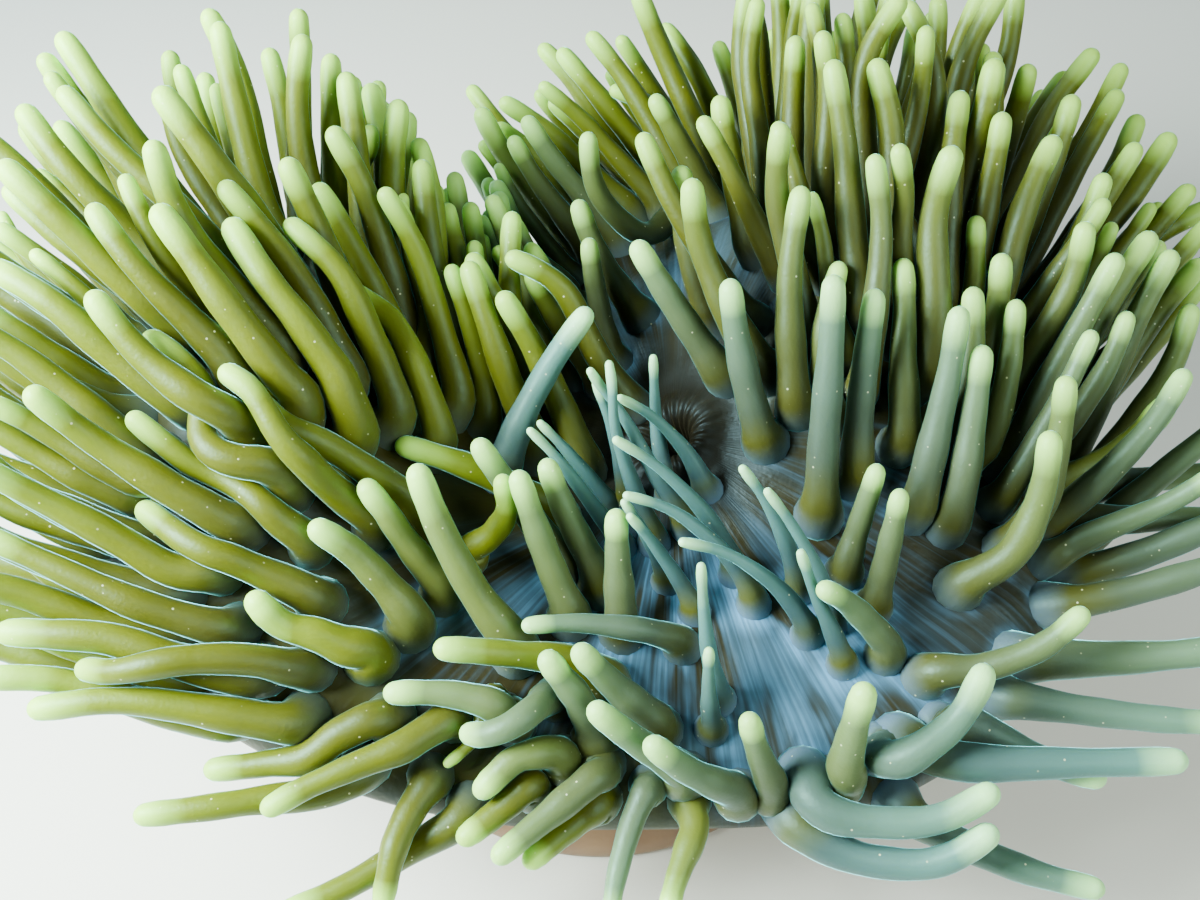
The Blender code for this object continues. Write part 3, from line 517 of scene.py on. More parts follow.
def pushed_apart(lines, radii, held=0):
    """tentacles pushed off each other, round by round, until their skins lie PUSH_GAP apart: the
    first ones are held still, each moves more freely away from its root, and after every push its
    bends spring back a little and its lengths are restored"""
    lines = lines.copy()
    count, size = lines.shape[:2]
    length = np.linalg.norm(np.diff(lines, axis=1), axis=-1, keepdims=True)
    bend = (lines[:, :-2] + lines[:, 2:]) / 2 - lines[:, 1:-1]
    along = np.clip((np.arange(size) - 1) / 3, 0, 1)
    free = np.tile(along, count) * np.repeat(np.arange(count) >= held, size)
    owner = np.repeat(np.arange(count), size)
    radius = radii.reshape(-1)
    for turn in range(PUSH_ROUNDS):
        flat = lines.reshape(-1, 3)
        if turn % PAIR_ROUNDS == 0:
            a, b = close_pairs(flat, owner, 2 * radius.max() + PUSH_GAP + PAIR_REACH)
            a, b = a[free[a] + free[b] > 0], b[free[a] + free[b] > 0]
        away = flat[a] - flat[b]
        dist = np.linalg.norm(away, axis=1) + 1e-9
        over = radius[a] + radius[b] + PUSH_GAP - dist
        hit = over > 0
        near, far = a[hit], b[hit]
        push = away[hit] * (0.5 * over[hit] / dist[hit] / (free[near] + free[far]))[:, None]
        move, many = np.zeros_like(flat), np.zeros(len(flat))
        np.add.at(move, near, push * free[near, None])
        np.add.at(move, far, -push * free[far, None])
        np.add.at(many, near, 1)
        np.add.at(many, far, 1)
        flat = flat + move / np.sqrt(np.maximum(many, 1))[:, None]
        lift_off_skin(flat, radius, free)
        lines = flat.reshape(count, size, 3)
        sprung = (lines[:, :-2] + lines[:, 2:]) / 2 - lines[:, 1:-1] - bend
        lines[:, 1:-1] += STIFF * sprung * along[None, 1:-1, None]
        for k in range(2, size):
            lines[:, k] = lines[:, k - 1] + unit(lines[:, k] - lines[:, k - 1]) * length[:, k - 1]
    return lines


def lean_change(before, after):
    """the widest angle by which any stretch of each line has turned"""
    ways = [unit(np.diff(lines, axis=1)) for lines in (before, after)]
    return np.arccos(np.clip((ways[0] * ways[1]).sum(-1), -1, 1)).max(1)


def taper(thick):
    """radii that fall evenly from root to tip"""
    return (ROOT_R + (TIP_R - ROOT_R) * np.linspace(0, 1, POINTS)) * thick[:, None]


def patch_share(points, patches):
    """a share at each point: the highest of a bell curve over each patch of the plan"""
    x, y = points[..., 0] / MM, points[..., 1] / MM
    shares = [share * np.exp(-((x - at_x) ** 2 + (y - at_y) ** 2) / wide ** 2)
              for at_x, at_y, wide, share in patches]
    return np.max(shares, 0)


def joined(first, second):
    """two groups of tentacles as one"""
    return [np.concatenate(pair) for pair in zip(first, second)]


def grown(seed, group, inner, spacing, wall_gap, long_share, thick_share):
    """tentacles that root between those of a group and follow the comb"""
    u, angle = thrown_roots(seed, inner, disc_point(*group[:2]), spacing, wall_gap)
    lines, thick = combed_tentacles(seed + 1, u, angle, long_share, thick_share)
    # bluer patches; in the fold behind the left lobe this darker teal is painted shade
    return u, angle, lines, thick, patch_share(disc_point(u, angle), BLUE_AND_SHADE_PATCHES)


def all_tentacles():
    """u, angle, centre lines, thickness and blue: those of the solids, then the slender ones, the
    fringe and those that fill in, less the ones that would have to bend too far"""
    group = placed_tentacles(PLACED)
    group = joined(group, grown(SEED, group, INNER_ROOT, ROOT_SPACING, ROOT_R + ROOT_CLEAR, 1, 1))
    group[2] = pushed_apart(group[2], taper(group[3]))
    held = len(group[0])
    group = joined(group, placed_tentacles(SLENDER + FRINGE))
    group = joined(group, grown(FILL_SEED, group, BARE_RIM, FILL_SPACING, 0, FILL_LONG, FILL_THICK))
    before = group[2]
    group[2] = pushed_apart(before, taper(group[3]), held)
    keep = lean_change(before, group[2]) < FILL_BEND
    keep[:held] = True
    return tuple(v[keep] for v in group)


TENTACLES = all_tentacles()


def group_of(u, angle):
    """the name of the piece that a tentacle belongs to, by where it roots"""
    if u < BARE_RIM:
        return INNER_GROUP
    degrees = math.degrees(angle) % 360
    for name, sectors in GROUPS.items():
        for first, last in sectors.values():
            if first <= degrees < last or first <= degrees + 360 < last:
                return name
    raise ValueError("no sector at %.1f degrees" % degrees)


def hermite(t, start, leave, end, arrive):
    """the cubic from start at t = 0 to end at t = 1 that has these slopes there"""
    return (start * (2 * t**3 - 3 * t**2 + 1) + leave * (t**3 - 2 * t**2 + t)
            + end * (3 * t**2 - 2 * t**3) + arrive * (t**3 - t**2))


def through_points(lines, count):
    """Hermite curves through each line's points, with central differences as their slopes,
    read at count even steps"""
    slope = np.gradient(lines, axis=1)
    t = np.linspace(0, lines.shape[1] - 1, count)
    k = np.minimum(t.astype(int), lines.shape[1] - 2)
    shaded_between = (t - k)[None, :, None]
    return hermite(shaded_between, lines[:, k], slope[:, k], lines[:, k + 1], slope[:, k + 1])


def frames_along(lines):
    """two unit vectors square to each line at each ring, carried along without twist"""
    way = unit(np.gradient(lines, axis=1))
    side = unit(np.cross(way[:, 0], RIGHT + 0.3 * TOWARD))
    sides = []
    for k in range(lines.shape[1]):
        side = unit(side - (side * way[:, k]).sum(-1, keepdims=True) * way[:, k])
        sides.append(side)
    side = np.stack(sides, 1)
    return way, side, np.cross(way, side)


def girth(s, thick, root, tip, phase):
    """radius along a tentacle: a taper that is fastest low down, a flare at the root, a slight
    bulb near the tip and two slow waves that differ from one tentacle to the next; the slender
    ones are stout at the root, thin out sooner and have a larger bulb"""
    thick, phase = thick[:, None], phase[:, None]
    slender = 1 - rising(thick, SLENDER_BELOW, STOUT)
    fall = s ** (TAPER + (SLENDER_TAPER - TAPER) * slender)
    high = tip * thick * (1 - SLENDER_THIN * slender)
    shape = root * np.maximum(thick, STOUT) * (1 - fall) + high * fall
    shape = shape * (1 + FLARE * np.exp(-((s / FLARE_LONG) ** 2)))
    bulb = BULB + SLENDER_BULB * slender
    shape = shape * (1 + bulb * np.exp(-(((s - BULB_AT) / BULB_LONG) ** 2)))
    wave = np.sin(9 * s + phase) + 0.6 * np.sin(23 * s + 2.7 * phase)
    return shape * (1 + WAVER * wave * s * (1 - s) * 4)


def tube_grid(u, angle, lines, thick, root, tip, phase):
    """tentacles as tubes: a circle carried along each centre line, its radius from girth, closed
    by a half ellipse; a grid of points by tentacle, ring and side, and s at each ring"""
    lines = lines.copy()
    lines[:, 0] = below_disc(u, angle, DISC_THICK * ROOT_SUNK)
    path = through_points(lines, RINGS)
    way, side, other = frames_along(path)
    s = np.linspace(0, 1, RINGS)
    size = girth(s, thick, root, tip, phase)
    bow = np.linspace(0, 0.5 * np.pi, CAP_RINGS + 1)[1:-1]
    end = size[:, -1:]
    cap = path[:, -1:] + way[:, -1:] * (end * CAP_LONG * np.sin(bow))[..., None]
    centre = np.concatenate([path, cap], 1)
    size = np.concatenate([size, end * np.cos(bow)], 1)
    side, other = (np.concatenate([v, np.repeat(v[:, -1:], len(bow), 1)], 1) for v in (side, other))
    turn = np.arange(SIDES)[:, None] * 2 * np.pi / SIDES
    ring = side[:, :, None] * np.cos(turn) + other[:, :, None] * np.sin(turn)
    grid = centre[:, :, None] + ring * size[:, :, None, None]
    tops = path[:, -1] + way[:, -1] * end * CAP_LONG
    share = np.concatenate([s, np.ones(len(bow))])
    return grid, path[:, 0], tops, share


def rows_and_turns(rows, turns):
    """the row and the turn of each cell between rows of points that run once round"""
    row, turn = np.meshgrid(np.arange(rows - 1), np.arange(turns), indexing="ij")
    return row.reshape(-1, 1), turn.reshape(-1, 1)


def closed_faces(rows, turns):
    """quads between rows of points that run once round, and fans of triangles that close them at a
    pole before the first row and a pole after the last, which are numbered after all rows"""
    row, turn = rows_and_turns(rows, turns)
    quads = (row + [0, 0, 1, 1]) * turns + (turn + [0, 1, 1, 0]) % turns
    turn = np.arange(turns)[:, None]
    pole = rows * turns + 0 * turn
    first = np.concatenate([(turn + [1, 0]) % turns, pole], 1)
    last = np.concatenate([(rows - 1) * turns + (turn + [0, 1]) % turns, pole + 1], 1)
    return quads, np.concatenate([first, last])


def face_arrays(quads, fans):
    """the corners of all faces one after another, and the number of corners of each"""
    corners = np.concatenate([quads.reshape(-1), fans.reshape(-1)])
    return corners, np.concatenate([np.full(len(quads), 4), np.full(len(fans), 3)])


def tube_faces(count, rings):
    """corners and sizes of the faces of tubes whose points are numbered by tube, ring and side,
    each followed by its two poles"""
    corners, sizes = face_arrays(*closed_faces(rings, SIDES))
    shift = np.arange(count)[:, None] * (rings * SIDES + 2)
    return (corners + shift).reshape(-1), np.tile(sizes, count)


def strip_places(rings):
    """the place of each corner of a tube's faces on a strip, as shares round and along"""
    ring, side = rows_and_turns(rings, SIDES)
    quads = np.stack([(side + [0, 1, 1, 0]) / SIDES, (ring + [0, 0, 1, 1]) / (rings - 1)], -1)
    side = np.arange(SIDES)[:, None]
    first = np.stack([(side + [1, 0, 0.5]) / SIDES, 0 * side + [0, 0, 0]], -1)
    last = np.stack([(side + [0, 1, 0.5]) / SIDES, 0 * side + [1, 1, 1]], -1)
    return np.concatenate([v.reshape(-1, 2) for v in (quads, first, last)])


def mesh_object(name, points, corners, sizes, values, look):
    """an object at the origin from arrays of points, face corners, corners a face and values"""
    mesh = bpy.data.meshes.new(name)
    mesh.vertices.add(len(points))
    mesh.vertices.foreach_set("co", points.reshape(-1).astype(np.float32))
    mesh.loops.add(len(corners))
    mesh.loops.foreach_set("vertex_index", corners.astype(np.int32))
    mesh.polygons.add(len(sizes))
    starts = np.concatenate([[0], np.cumsum(sizes)[:-1]])
    mesh.polygons.foreach_set("loop_start", starts.astype(np.int32))
    mesh.update(calc_edges=True)
    mesh.validate()
    mesh.shade_smooth()
    for key, numbers in values.items():
        layer = mesh.attributes.new(key, "FLOAT", "POINT")
        layer.data.foreach_set("value", numbers.reshape(-1).astype(np.float32))
    mesh.materials.append(look)
    obj = bpy.data.objects.new(name, mesh)
    bpy.context.scene.collection.objects.link(obj)
    return obj


def bake_map(mesh, u, angle, rings):
    """a patch for each tentacle where it roots, on the disc unrolled about the mouth"""
    middle = np.stack([u * np.cos(angle), u * np.sin(angle)], -1) * UV_REACH + 0.5
    spots = middle[:, None] + (strip_places(rings)[None] - 0.5) * UV_PATCH
    layer = mesh.uv_layers.new(name="OFBake")
    layer.data.foreach_set("uv", spots.reshape(-1).astype(np.float32))


def tentacle_piece(name, tubes, blue, tone_and_shade, settings, look):
    """one piece of joined tentacles: tubes with the settings' radii, closed by their poles"""
    u, angle, lines, thick, phase = tubes
    radii = settings.root_radius, settings.tip_radius
    grid, lows, tops, share = tube_grid(u, angle, lines, thick, *radii, phase)
    count, rings = grid.shape[:2]
    ends = np.stack([lows, tops], 1)
    points = np.concatenate([grid.reshape(count, -1, 3), ends], 1)
    corners, sizes = tube_faces(count, rings)
    along = np.concatenate([np.repeat(share, SIDES), [0, 1]])
    each = len(along)
    values = {
        "along": np.tile(along, count),
        "blue": np.repeat(blue, each),
        "tone_and_shade": np.repeat(tone_and_shade, each),
    }
    obj = mesh_object(name, points.reshape(-1, 3), corners, sizes, values, look)
    bake_map(obj.data, u, angle, rings)
    return obj


def waves(angle, height):
    """a slow, uneven swing of -1 to 1 that bends ribs and folds"""
    return (np.sin(3 * angle + 7 * height) + np.sin(5 * angle - 11 * height + 1.3)
            + 0.7 * np.sin(11 * angle + 5 * height + 2.1)) / 2.7


def disc_rows(angle, rib_height):
    """the disc from the throat to the margin: its surface with lips raised round the mouth, a
    pleated throat sunk in the middle and fine ribs that fan out from it"""
    u = np.linspace(0, 1, DISC_ROWS + 1)[1:] ** ROW_GROWTH
    u, angle = np.meshgrid(u, angle, indexing="ij")
    lip = np.exp(-(((u - LIP_AT) / LIP_WIDE) ** 2)) * LIP_TALL
    hollow = (1 - rising(u, 0.0, THROAT_AT)) * THROAT_DEEP
    pleat = np.cos(THROAT_PLEATS * angle + waves(angle, u)) * PLEAT_TALL * (1 - rising(u, 0.05, 0.12))
    rib = 0.35 * np.cos(RIBS * angle + 2.2 * waves(angle, 2 * u))
    fold = np.cos(BROAD_RIBS * angle + 3.1 * waves(angle, 1.3 * u))
    rib_share = rising(u, 0.20, 0.50) * (1 - rising(u, 0.8, 0.95))
    swell = SWELL_TALL * waves(2 * angle, 3 * u) * rising(u, 0.1, 0.3)
    height = lip - hollow + pleat + rib_height * (rib + fold) * rib_share + swell
    grid = disc_point(u, angle) + disc_normal(u, angle) * height[..., None]
    return grid, u, 0 * u


def edge_rows(angle):
    """the margin's edge: half a circle from the disc's upper face to its lower face"""
    turn = np.linspace(0, np.pi, EDGE_ROWS + 2)[1:-1]
    turn, angle = np.meshgrid(turn, angle, indexing="ij")
    ones = np.ones_like(angle)
    half = (0.5 * DISC_THICK * thin_share(ones, angle))[..., None]
    top, normal = disc_point(ones, angle), disc_normal(ones, angle)
    out = unit(top - disc_point(ones - 0.01, angle))
    across, down = np.sin(turn)[..., None], (1 - np.cos(turn))[..., None]
    return top + out * (half * across) - normal * (half * down), ones, EDGE_END * turn / np.pi


def under_rows(angle):
    """the disc's lower face, from the margin in to the column"""
    u = np.linspace(1, COLUMN_RIM, UNDER_ROWS)
    u, angle = np.meshgrid(u, angle, indexing="ij")
    down = EDGE_END + (UNDER_END - EDGE_END) * (1 - u) / (1 - COLUMN_RIM)
    return below_disc(u, angle, DISC_THICK), np.ones_like(u), down


def outward(angle):
    """level unit vectors away from the middle"""
    return np.stack([np.cos(angle), np.sin(angle), 0 * angle], -1)


def column_rows(angle, wart_height):
    """the column: a Hermite curve from the disc's lower face to the foot, with shallow furrows
    and rows of small warts on its upper part"""
    up = np.array([0, 0, 1.0])
    way = outward(angle)
    start = way * FOOT_RADIUS * FOOT_NECK + up * FOOT_TALL
    end = below_disc(np.full(angle.shape, COLUMN_RIM), angle, DISC_THICK)
    tall = np.linalg.norm(end - start, axis=-1, keepdims=True)
    leave = (up - 0.9 * way) * tall * 1.1
    arrive = (up + 0.1 * way) * tall * 0.9
    t = np.linspace(1, 0, COLUMN_ROWS + 1)[1:, None, None]
    grid = hermite(t, start, leave, end, arrive)
    t = t[..., 0] + 0 * angle
    stagger = angle + 0.02 * np.sin(17 * t)
    wart = np.maximum(np.cos(WARTS_ROUND * stagger) * np.cos(2 * np.pi * WARTS_UP * t), 0) ** 2
    wart = wart * rising(t, 0.3, 0.55) * (0.7 + 0.3 * waves(angle, 4 * t))
    furrow = waves(4 * angle, t) * FURROW_TALL * rising(t, 0, 0.2)
    height = wart * wart_height + furrow
    down = UNDER_END + (COLUMN_END - UNDER_END) * (1 - t)
    return grid + way * height[..., None], np.ones_like(t), down, wart


def foot_rows(angle):
    """the foot: its profile carried round the middle"""
    out, level = np.array(FOOT_PROFILE).T
    grid = outward(angle) * FOOT_RADIUS * out[:, None, None]
    grid[..., 2] = (FOOT_TALL * level)[:, None]
    return grid, np.ones(grid.shape[:2]), np.ones(grid.shape[:2])


def eased(grid, first, last):
    """rows between first and last drawn toward the mean of their neighbours, so that the turn
    from the disc's lower face into the column has no crease"""
    grid = grid.copy()
    row = np.arange(first, last)
    share = np.clip(np.minimum(row - first, last - row) / 6, 0, 1)
    for _ in range(EASE_PASSES):
        mean = (grid[first - 1:last - 1] + grid[first + 1:last + 1]) / 2
        grid[first:last] += 0.5 * (mean - grid[first:last]) * share[:, None, None]
    return grid


def root_nearness(grid, roots):
    """1 at the middle of a tentacle's root, falling as a bell curve of the distance"""
    near = np.zeros(grid.shape[:2])
    for row in range(len(grid)):
        away = np.sqrt(((grid[row][:, None] - roots[None]) ** 2).sum(-1)).min(1)
        near[row] = np.exp(-((away / COLLAR) ** 2))
    return near


def bareness(grid):
    """1 in the patches with few tentacles, falling fast past their edges"""
    return np.exp(-((bare_distance(grid) ** 2 / 1.7) ** 2))


def skin_grid(settings, roots):
    """rows of points from the throat to the foot's underside, with the values along them"""
    angle = np.arange(TURNS) * 2 * np.pi / TURNS
    disc = disc_rows(angle, settings.rib_height)
    *column, wart = column_rows(angle, settings.wart_height)
    parts = [disc, edge_rows(angle), under_rows(angle), column, foot_rows(angle)]
    grid, reach, down = (np.concatenate(part) for part in zip(*parts))
    warts = np.zeros(grid.shape[:2])
    first = DISC_ROWS + EDGE_ROWS + UNDER_ROWS
    warts[first:first + COLUMN_ROWS] = wart
    grid = eased(grid, first - EASE_ROWS, first + EASE_ROWS)
    return grid, {"reach": reach, "down": down, "wart": warts, "near": root_nearness(grid, roots),
                  "bare": bareness(grid), "milk_and_highlight": patch_share(grid, MILKY_AND_HIGHLIGHT_PATCHES)}


class Value:
    """a shader value; Python's operators on it add Math nodes"""

    def __init__(self, look, socket):
        self.look = look
        self.socket = socket

    def math(self, operation, first, second=0.0):
        """one Math node"""
        return self.look.node("ShaderNodeMath", {"operation": operation}, {0: first, 1: second})

    def __add__(self, other):
        return self.math("ADD", self, other)

    def __sub__(self, other):
        return self.math("SUBTRACT", self, other)

    def __rsub__(self, other):
        return self.math("SUBTRACT", other, self)

    def __mul__(self, other):
        return self.math("MULTIPLY", self, other)

    __radd__ = __add__
    __rmul__ = __mul__

    def sine(self):
        """the sine of an angle in radians"""
        return self.math("SINE", self)

    def rising(self, low, high):
        """0 up to low, 1 from high on and a smooth way between them, also where high is the lower"""
        return self.look.node("ShaderNodeMapRange", {"interpolation_type": "SMOOTHSTEP"},
                              {"Value": self, "From Min": low, "From Max": high})


class Look:
    """a material made of nodes"""

    def __init__(self, name, **constants):
        self.material = bpy.data.materials.new(name)
        self.material.use_nodes = True
        self.tree = self.material.node_tree
        self.shader = self.tree.nodes["Principled BSDF"]
        self.feed(self.shader, constants)

    def feed(self, node, inputs):
        """numbers set on a node's sockets, and values linked to them"""
        for key, given in inputs.items():
            socket = node.inputs[key.replace("_", " ") if isinstance(key, str) else key]
            if isinstance(given, Value):
                self.tree.links.new(given.socket, socket)
            else:
                socket.default_value = given

    def node(self, kind, settings, inputs, output=0):
        """one node: its settings are set first, then its sockets get values or links"""
        made = self.tree.nodes.new(kind)
        stops = settings.pop("stops", ())
        for key, given in settings.items():
            setattr(made, key, given)
        for _ in stops[2:]:
            made.color_ramp.elements.new(1.0)
        for at, (place, colour) in enumerate(stops):
            made.color_ramp.elements[at].position = place
            made.color_ramp.elements[at].color = (*colour, 1)
        self.feed(made, inputs)
        return Value(self, made.outputs[output])

    def stored(self, name):
        """a value that the mesh stores at its points"""
        return self.node("ShaderNodeAttribute", {"attribute_name": name}, {}, "Fac")

    def place(self):
        """places in metres"""
        return self.node("ShaderNodeTexCoord", {}, {}, "Object")

    def moved(self, offset):
        """places in metres, moved by the offset"""
        return self.node("ShaderNodeMapping", {}, {"Vector": self.place(), "Location": offset})

    def noise(self, size, detail=2.0):
        """soft noise of about 0 to 1 whose lumps are this size in metres"""
        return self.node("ShaderNodeTexNoise", {}, {
            "Vector": self.place(), "Scale": 1 / size, "Detail": detail})

    def streaks(self, turn, reach, around, outward):
        """noise drawn out along the rays, with this many lumps round the disc and out to its rim"""
        angle = turn * (2 * math.pi)
        wide = around / (2 * math.pi)
        spot = self.node("ShaderNodeCombineXYZ", {}, {
            "X": angle.sine() * wide, "Y": (angle + 0.5 * math.pi).sine() * wide, "Z": reach * outward})
        return self.node("ShaderNodeTexNoise", {}, {"Vector": spot, "Scale": 1.0, "Detail": 3.0})

    def dots(self, size, width):
        """round dots, one in each cell of this size, this wide against the cell"""
        inputs = {"Vector": self.place(), "Scale": 1 / size}
        distance = self.node("ShaderNodeTexVoronoi", {}, inputs, "Distance")
        return 1 - distance.rising(0.5 * width, width)

    def ramp(self, factor, *stops):
        """a colour that runs through stops of place and colour"""
        return self.node("ShaderNodeValToRGB", {"stops": stops}, {"Fac": factor})

    def mix(self, factor, first, second, blend="MIX"):
        """a blend of two colours"""
        first, second = (c if isinstance(c, Value) else (*c, 1) for c in (first, second))
        return self.node("ShaderNodeMix", {"data_type": "RGBA", "blend_type": blend},
                         {0: factor, 6: first, 7: second}, 2)

    def bump(self, height, distance, strength):
        """fine relief, raised by this distance in metres where the height is 1"""
        self.feed(self.shader, {"Normal": self.node("ShaderNodeBump", {}, {
            "Height": height, "Distance": distance, "Strength": strength})})


def tentacle_look(settings):
    """olive flesh, blue-grey where it flares into the disc, darker low down and pale at the tip,
    with a cool sheen at its edges; the slender ones are teal, and pale specks lie all over. The
    darkening low down is partly the flesh's own colour and partly painted shade, the browner patches
    are partly painted shade, and the darker teal in the fold behind the left lobe is painted shade"""
    look = Look("tentacle_skin", Subsurface_Weight=0.35, Subsurface_Radius=(1.0, 0.9, 0.3),
                Subsurface_Scale=3 * MM, Sheen_Weight=1.0, Sheen_Roughness=0.21,
                Sheen_Tint=(0.25, 0.88, 1.0, 1), Specular_IOR_Level=0.42,
                Specular_Tint=(0.50, 1.0, 0.95, 1))
    along, blue, tone_and_shade = look.stored("along"), look.stored("blue"), look.stored("tone_and_shade")
    uneven = 0.10 * (look.noise(7 * MM, 0.0) - 0.5) + 0.30 * (tone_and_shade - 0.55)
    place = along + uneven * (1 - along.rising(0.70, 0.95))
    # darker low down: partly the flesh's own colour, partly painted shade of the crowded depths
    green = look.ramp(place, (0.06, settings.root_and_shade_colour), (0.50, settings.middle_colour),
                      (0.85, settings.tip_colour), (1.0, settings.end_colour))
    amber_and_shade = look.mix(1.0, green, settings.amber_and_shade_colour, "MULTIPLY")
    # partly painted shade: in the browner patches the amber darkening reaches up to the tips
    olive = look.mix((1 - tone_and_shade) * 0.9 * (1 - 0.5 * along.rising(0.6, 1.0)), green, amber_and_shade)
    teal = look.ramp(place, (0.05, settings.root_and_shade_colour), (0.25, settings.thin_colour),
                     (0.85, settings.thin_tip_colour), (1.0, settings.thin_end_colour))
    colour = look.mix(blue * (1 - 0.2 * along), olive, teal)
    colour = look.mix(along.rising(0.13, 0.03) * (0.3 + 0.6 * blue), colour, settings.collar_colour)
    specks = look.dots(3.0 * MM, 0.10) * look.noise(9 * MM, 0.0).rising(0.40, 0.58)
    colour = look.mix(specks * 0.6, colour, settings.speck_colour)
    look.feed(look.shader, {"Base_Color": colour, "Roughness": 0.40 + 0.16 * look.noise(2 * MM, 0.0)})
    look.bump(look.noise(0.9 * MM, 1.0), 0.12 * MM, 0.6)
    return look.material


def skin_look(settings):
    """slate and brown disc with fine rays, milky blue round the tentacles' roots that is partly painted
    highlight, painted shade in a ring at each root, under the crowded tentacles and round the mouth,
    and a tan column with pale warts"""
    look = Look("body_skin", Subsurface_Weight=0.15, Subsurface_Radius=(0.9, 0.7, 0.6),
                Subsurface_Scale=2 * MM, Specular_IOR_Level=0.30,
                Specular_Tint=(0.5, 0.8, 1.0, 1))
    reach, down = look.stored("reach"), look.stored("down")
    wart, near, bare, milk_and_highlight = (look.stored(name) for name in ("wart", "near", "bare", "milk_and_highlight"))
    centred = look.moved((-MOUTH[0], -MOUTH[1], 0))
    turn = look.node("ShaderNodeTexGradient", {"gradient_type": "RADIAL"}, {"Vector": centred}, "Fac")
    folds = look.streaks(turn, reach, 44, 2.6)
    lines = look.streaks(turn, reach, 420, 2.6)
    outer = reach.rising(0.12, 0.45)
    slate = look.mix(folds.rising(0.40, 0.62) * outer * (0.4 + 0.6 * milk_and_highlight),
                     settings.disc_dark_and_shade_colour, settings.disc_colour)
    slate = look.mix(lines.rising(0.45, 0.85) * (0.04 + 0.12 * outer), slate, settings.disc_pale_and_highlight_colour)
    # partly painted highlight: milky blue on the folds near the roots and in the milkiest patches
    milky_and_highlight = (0.7 * near.rising(0.25, 0.80) + 0.6 * milk_and_highlight) * folds.rising(0.42, 0.60) * outer
    milky_and_highlight = milky_and_highlight * (0.45 + 0.55 * lines.rising(0.30, 0.75))
    blue = look.mix(milky_and_highlight, slate, settings.disc_pale_and_highlight_colour)
    # painted shade: a dark ring where each tentacle meets the disc
    blue = look.mix(near.rising(0.72, 0.95) * 0.4, blue, settings.disc_dark_and_shade_colour)
    # painted shade: the disc outside the bare patches, under the crowded tentacles, is dark brown
    shaded_between = look.mix(look.noise(10 * MM) * 0.5, settings.disc_dark_and_shade_colour, settings.root_and_shade_colour)
    top = look.mix(bare.rising(0.1, 0.8), shaded_between, blue)
    # painted shade: the throat and the disc round the mouth, out to nearly a third of its reach, turn
    # near black
    top = look.mix(reach.rising(0.30, 0.10) * 0.9, top, settings.throat_shade_colour)
    tan = look.mix(look.noise(12 * MM, 4.0), settings.column_colour, settings.column_dark_colour)
    tan = look.mix(wart.rising(0.3, 0.9) * 0.7, tan, settings.wart_colour)
    look.feed(look.shader, {
        "Base_Color": look.mix(down.rising(0.0, 0.16), top, tan),
        "Roughness": 0.30 + 0.24 * look.noise(5 * MM)})
    look.bump(lines * (1 - down.rising(0.0, 0.1)) + look.noise(1.6 * MM, 1.0), 0.22 * MM, 0.5)
    return look.material


def floor_look(settings):
    """pale and matt, with a hardly visible unevenness"""
    look = Look("floor", Roughness=0.7)
    tint = look.mix(look.noise(0.3), settings.floor_colour, [0.97 * c for c in settings.floor_colour])
    look.feed(look.shader, {"Base_Color": tint})
    return look.material


def length_property(name, description, default):
    """a length in metres"""
    return FloatProperty(name=name, description=description, default=default, min=0,
                         unit="LENGTH", precision=4)


def power_property(name, description, default):
    """a light's power in watts"""
    return FloatProperty(name=name, description=description, default=default, min=0, unit="POWER")


def colour_property(name, description, default):
    """a colour as shares of red, green and blue"""
    return FloatVectorProperty(name=name, description=description, default=default, size=3,
                               subtype="COLOR", min=0, max=1)


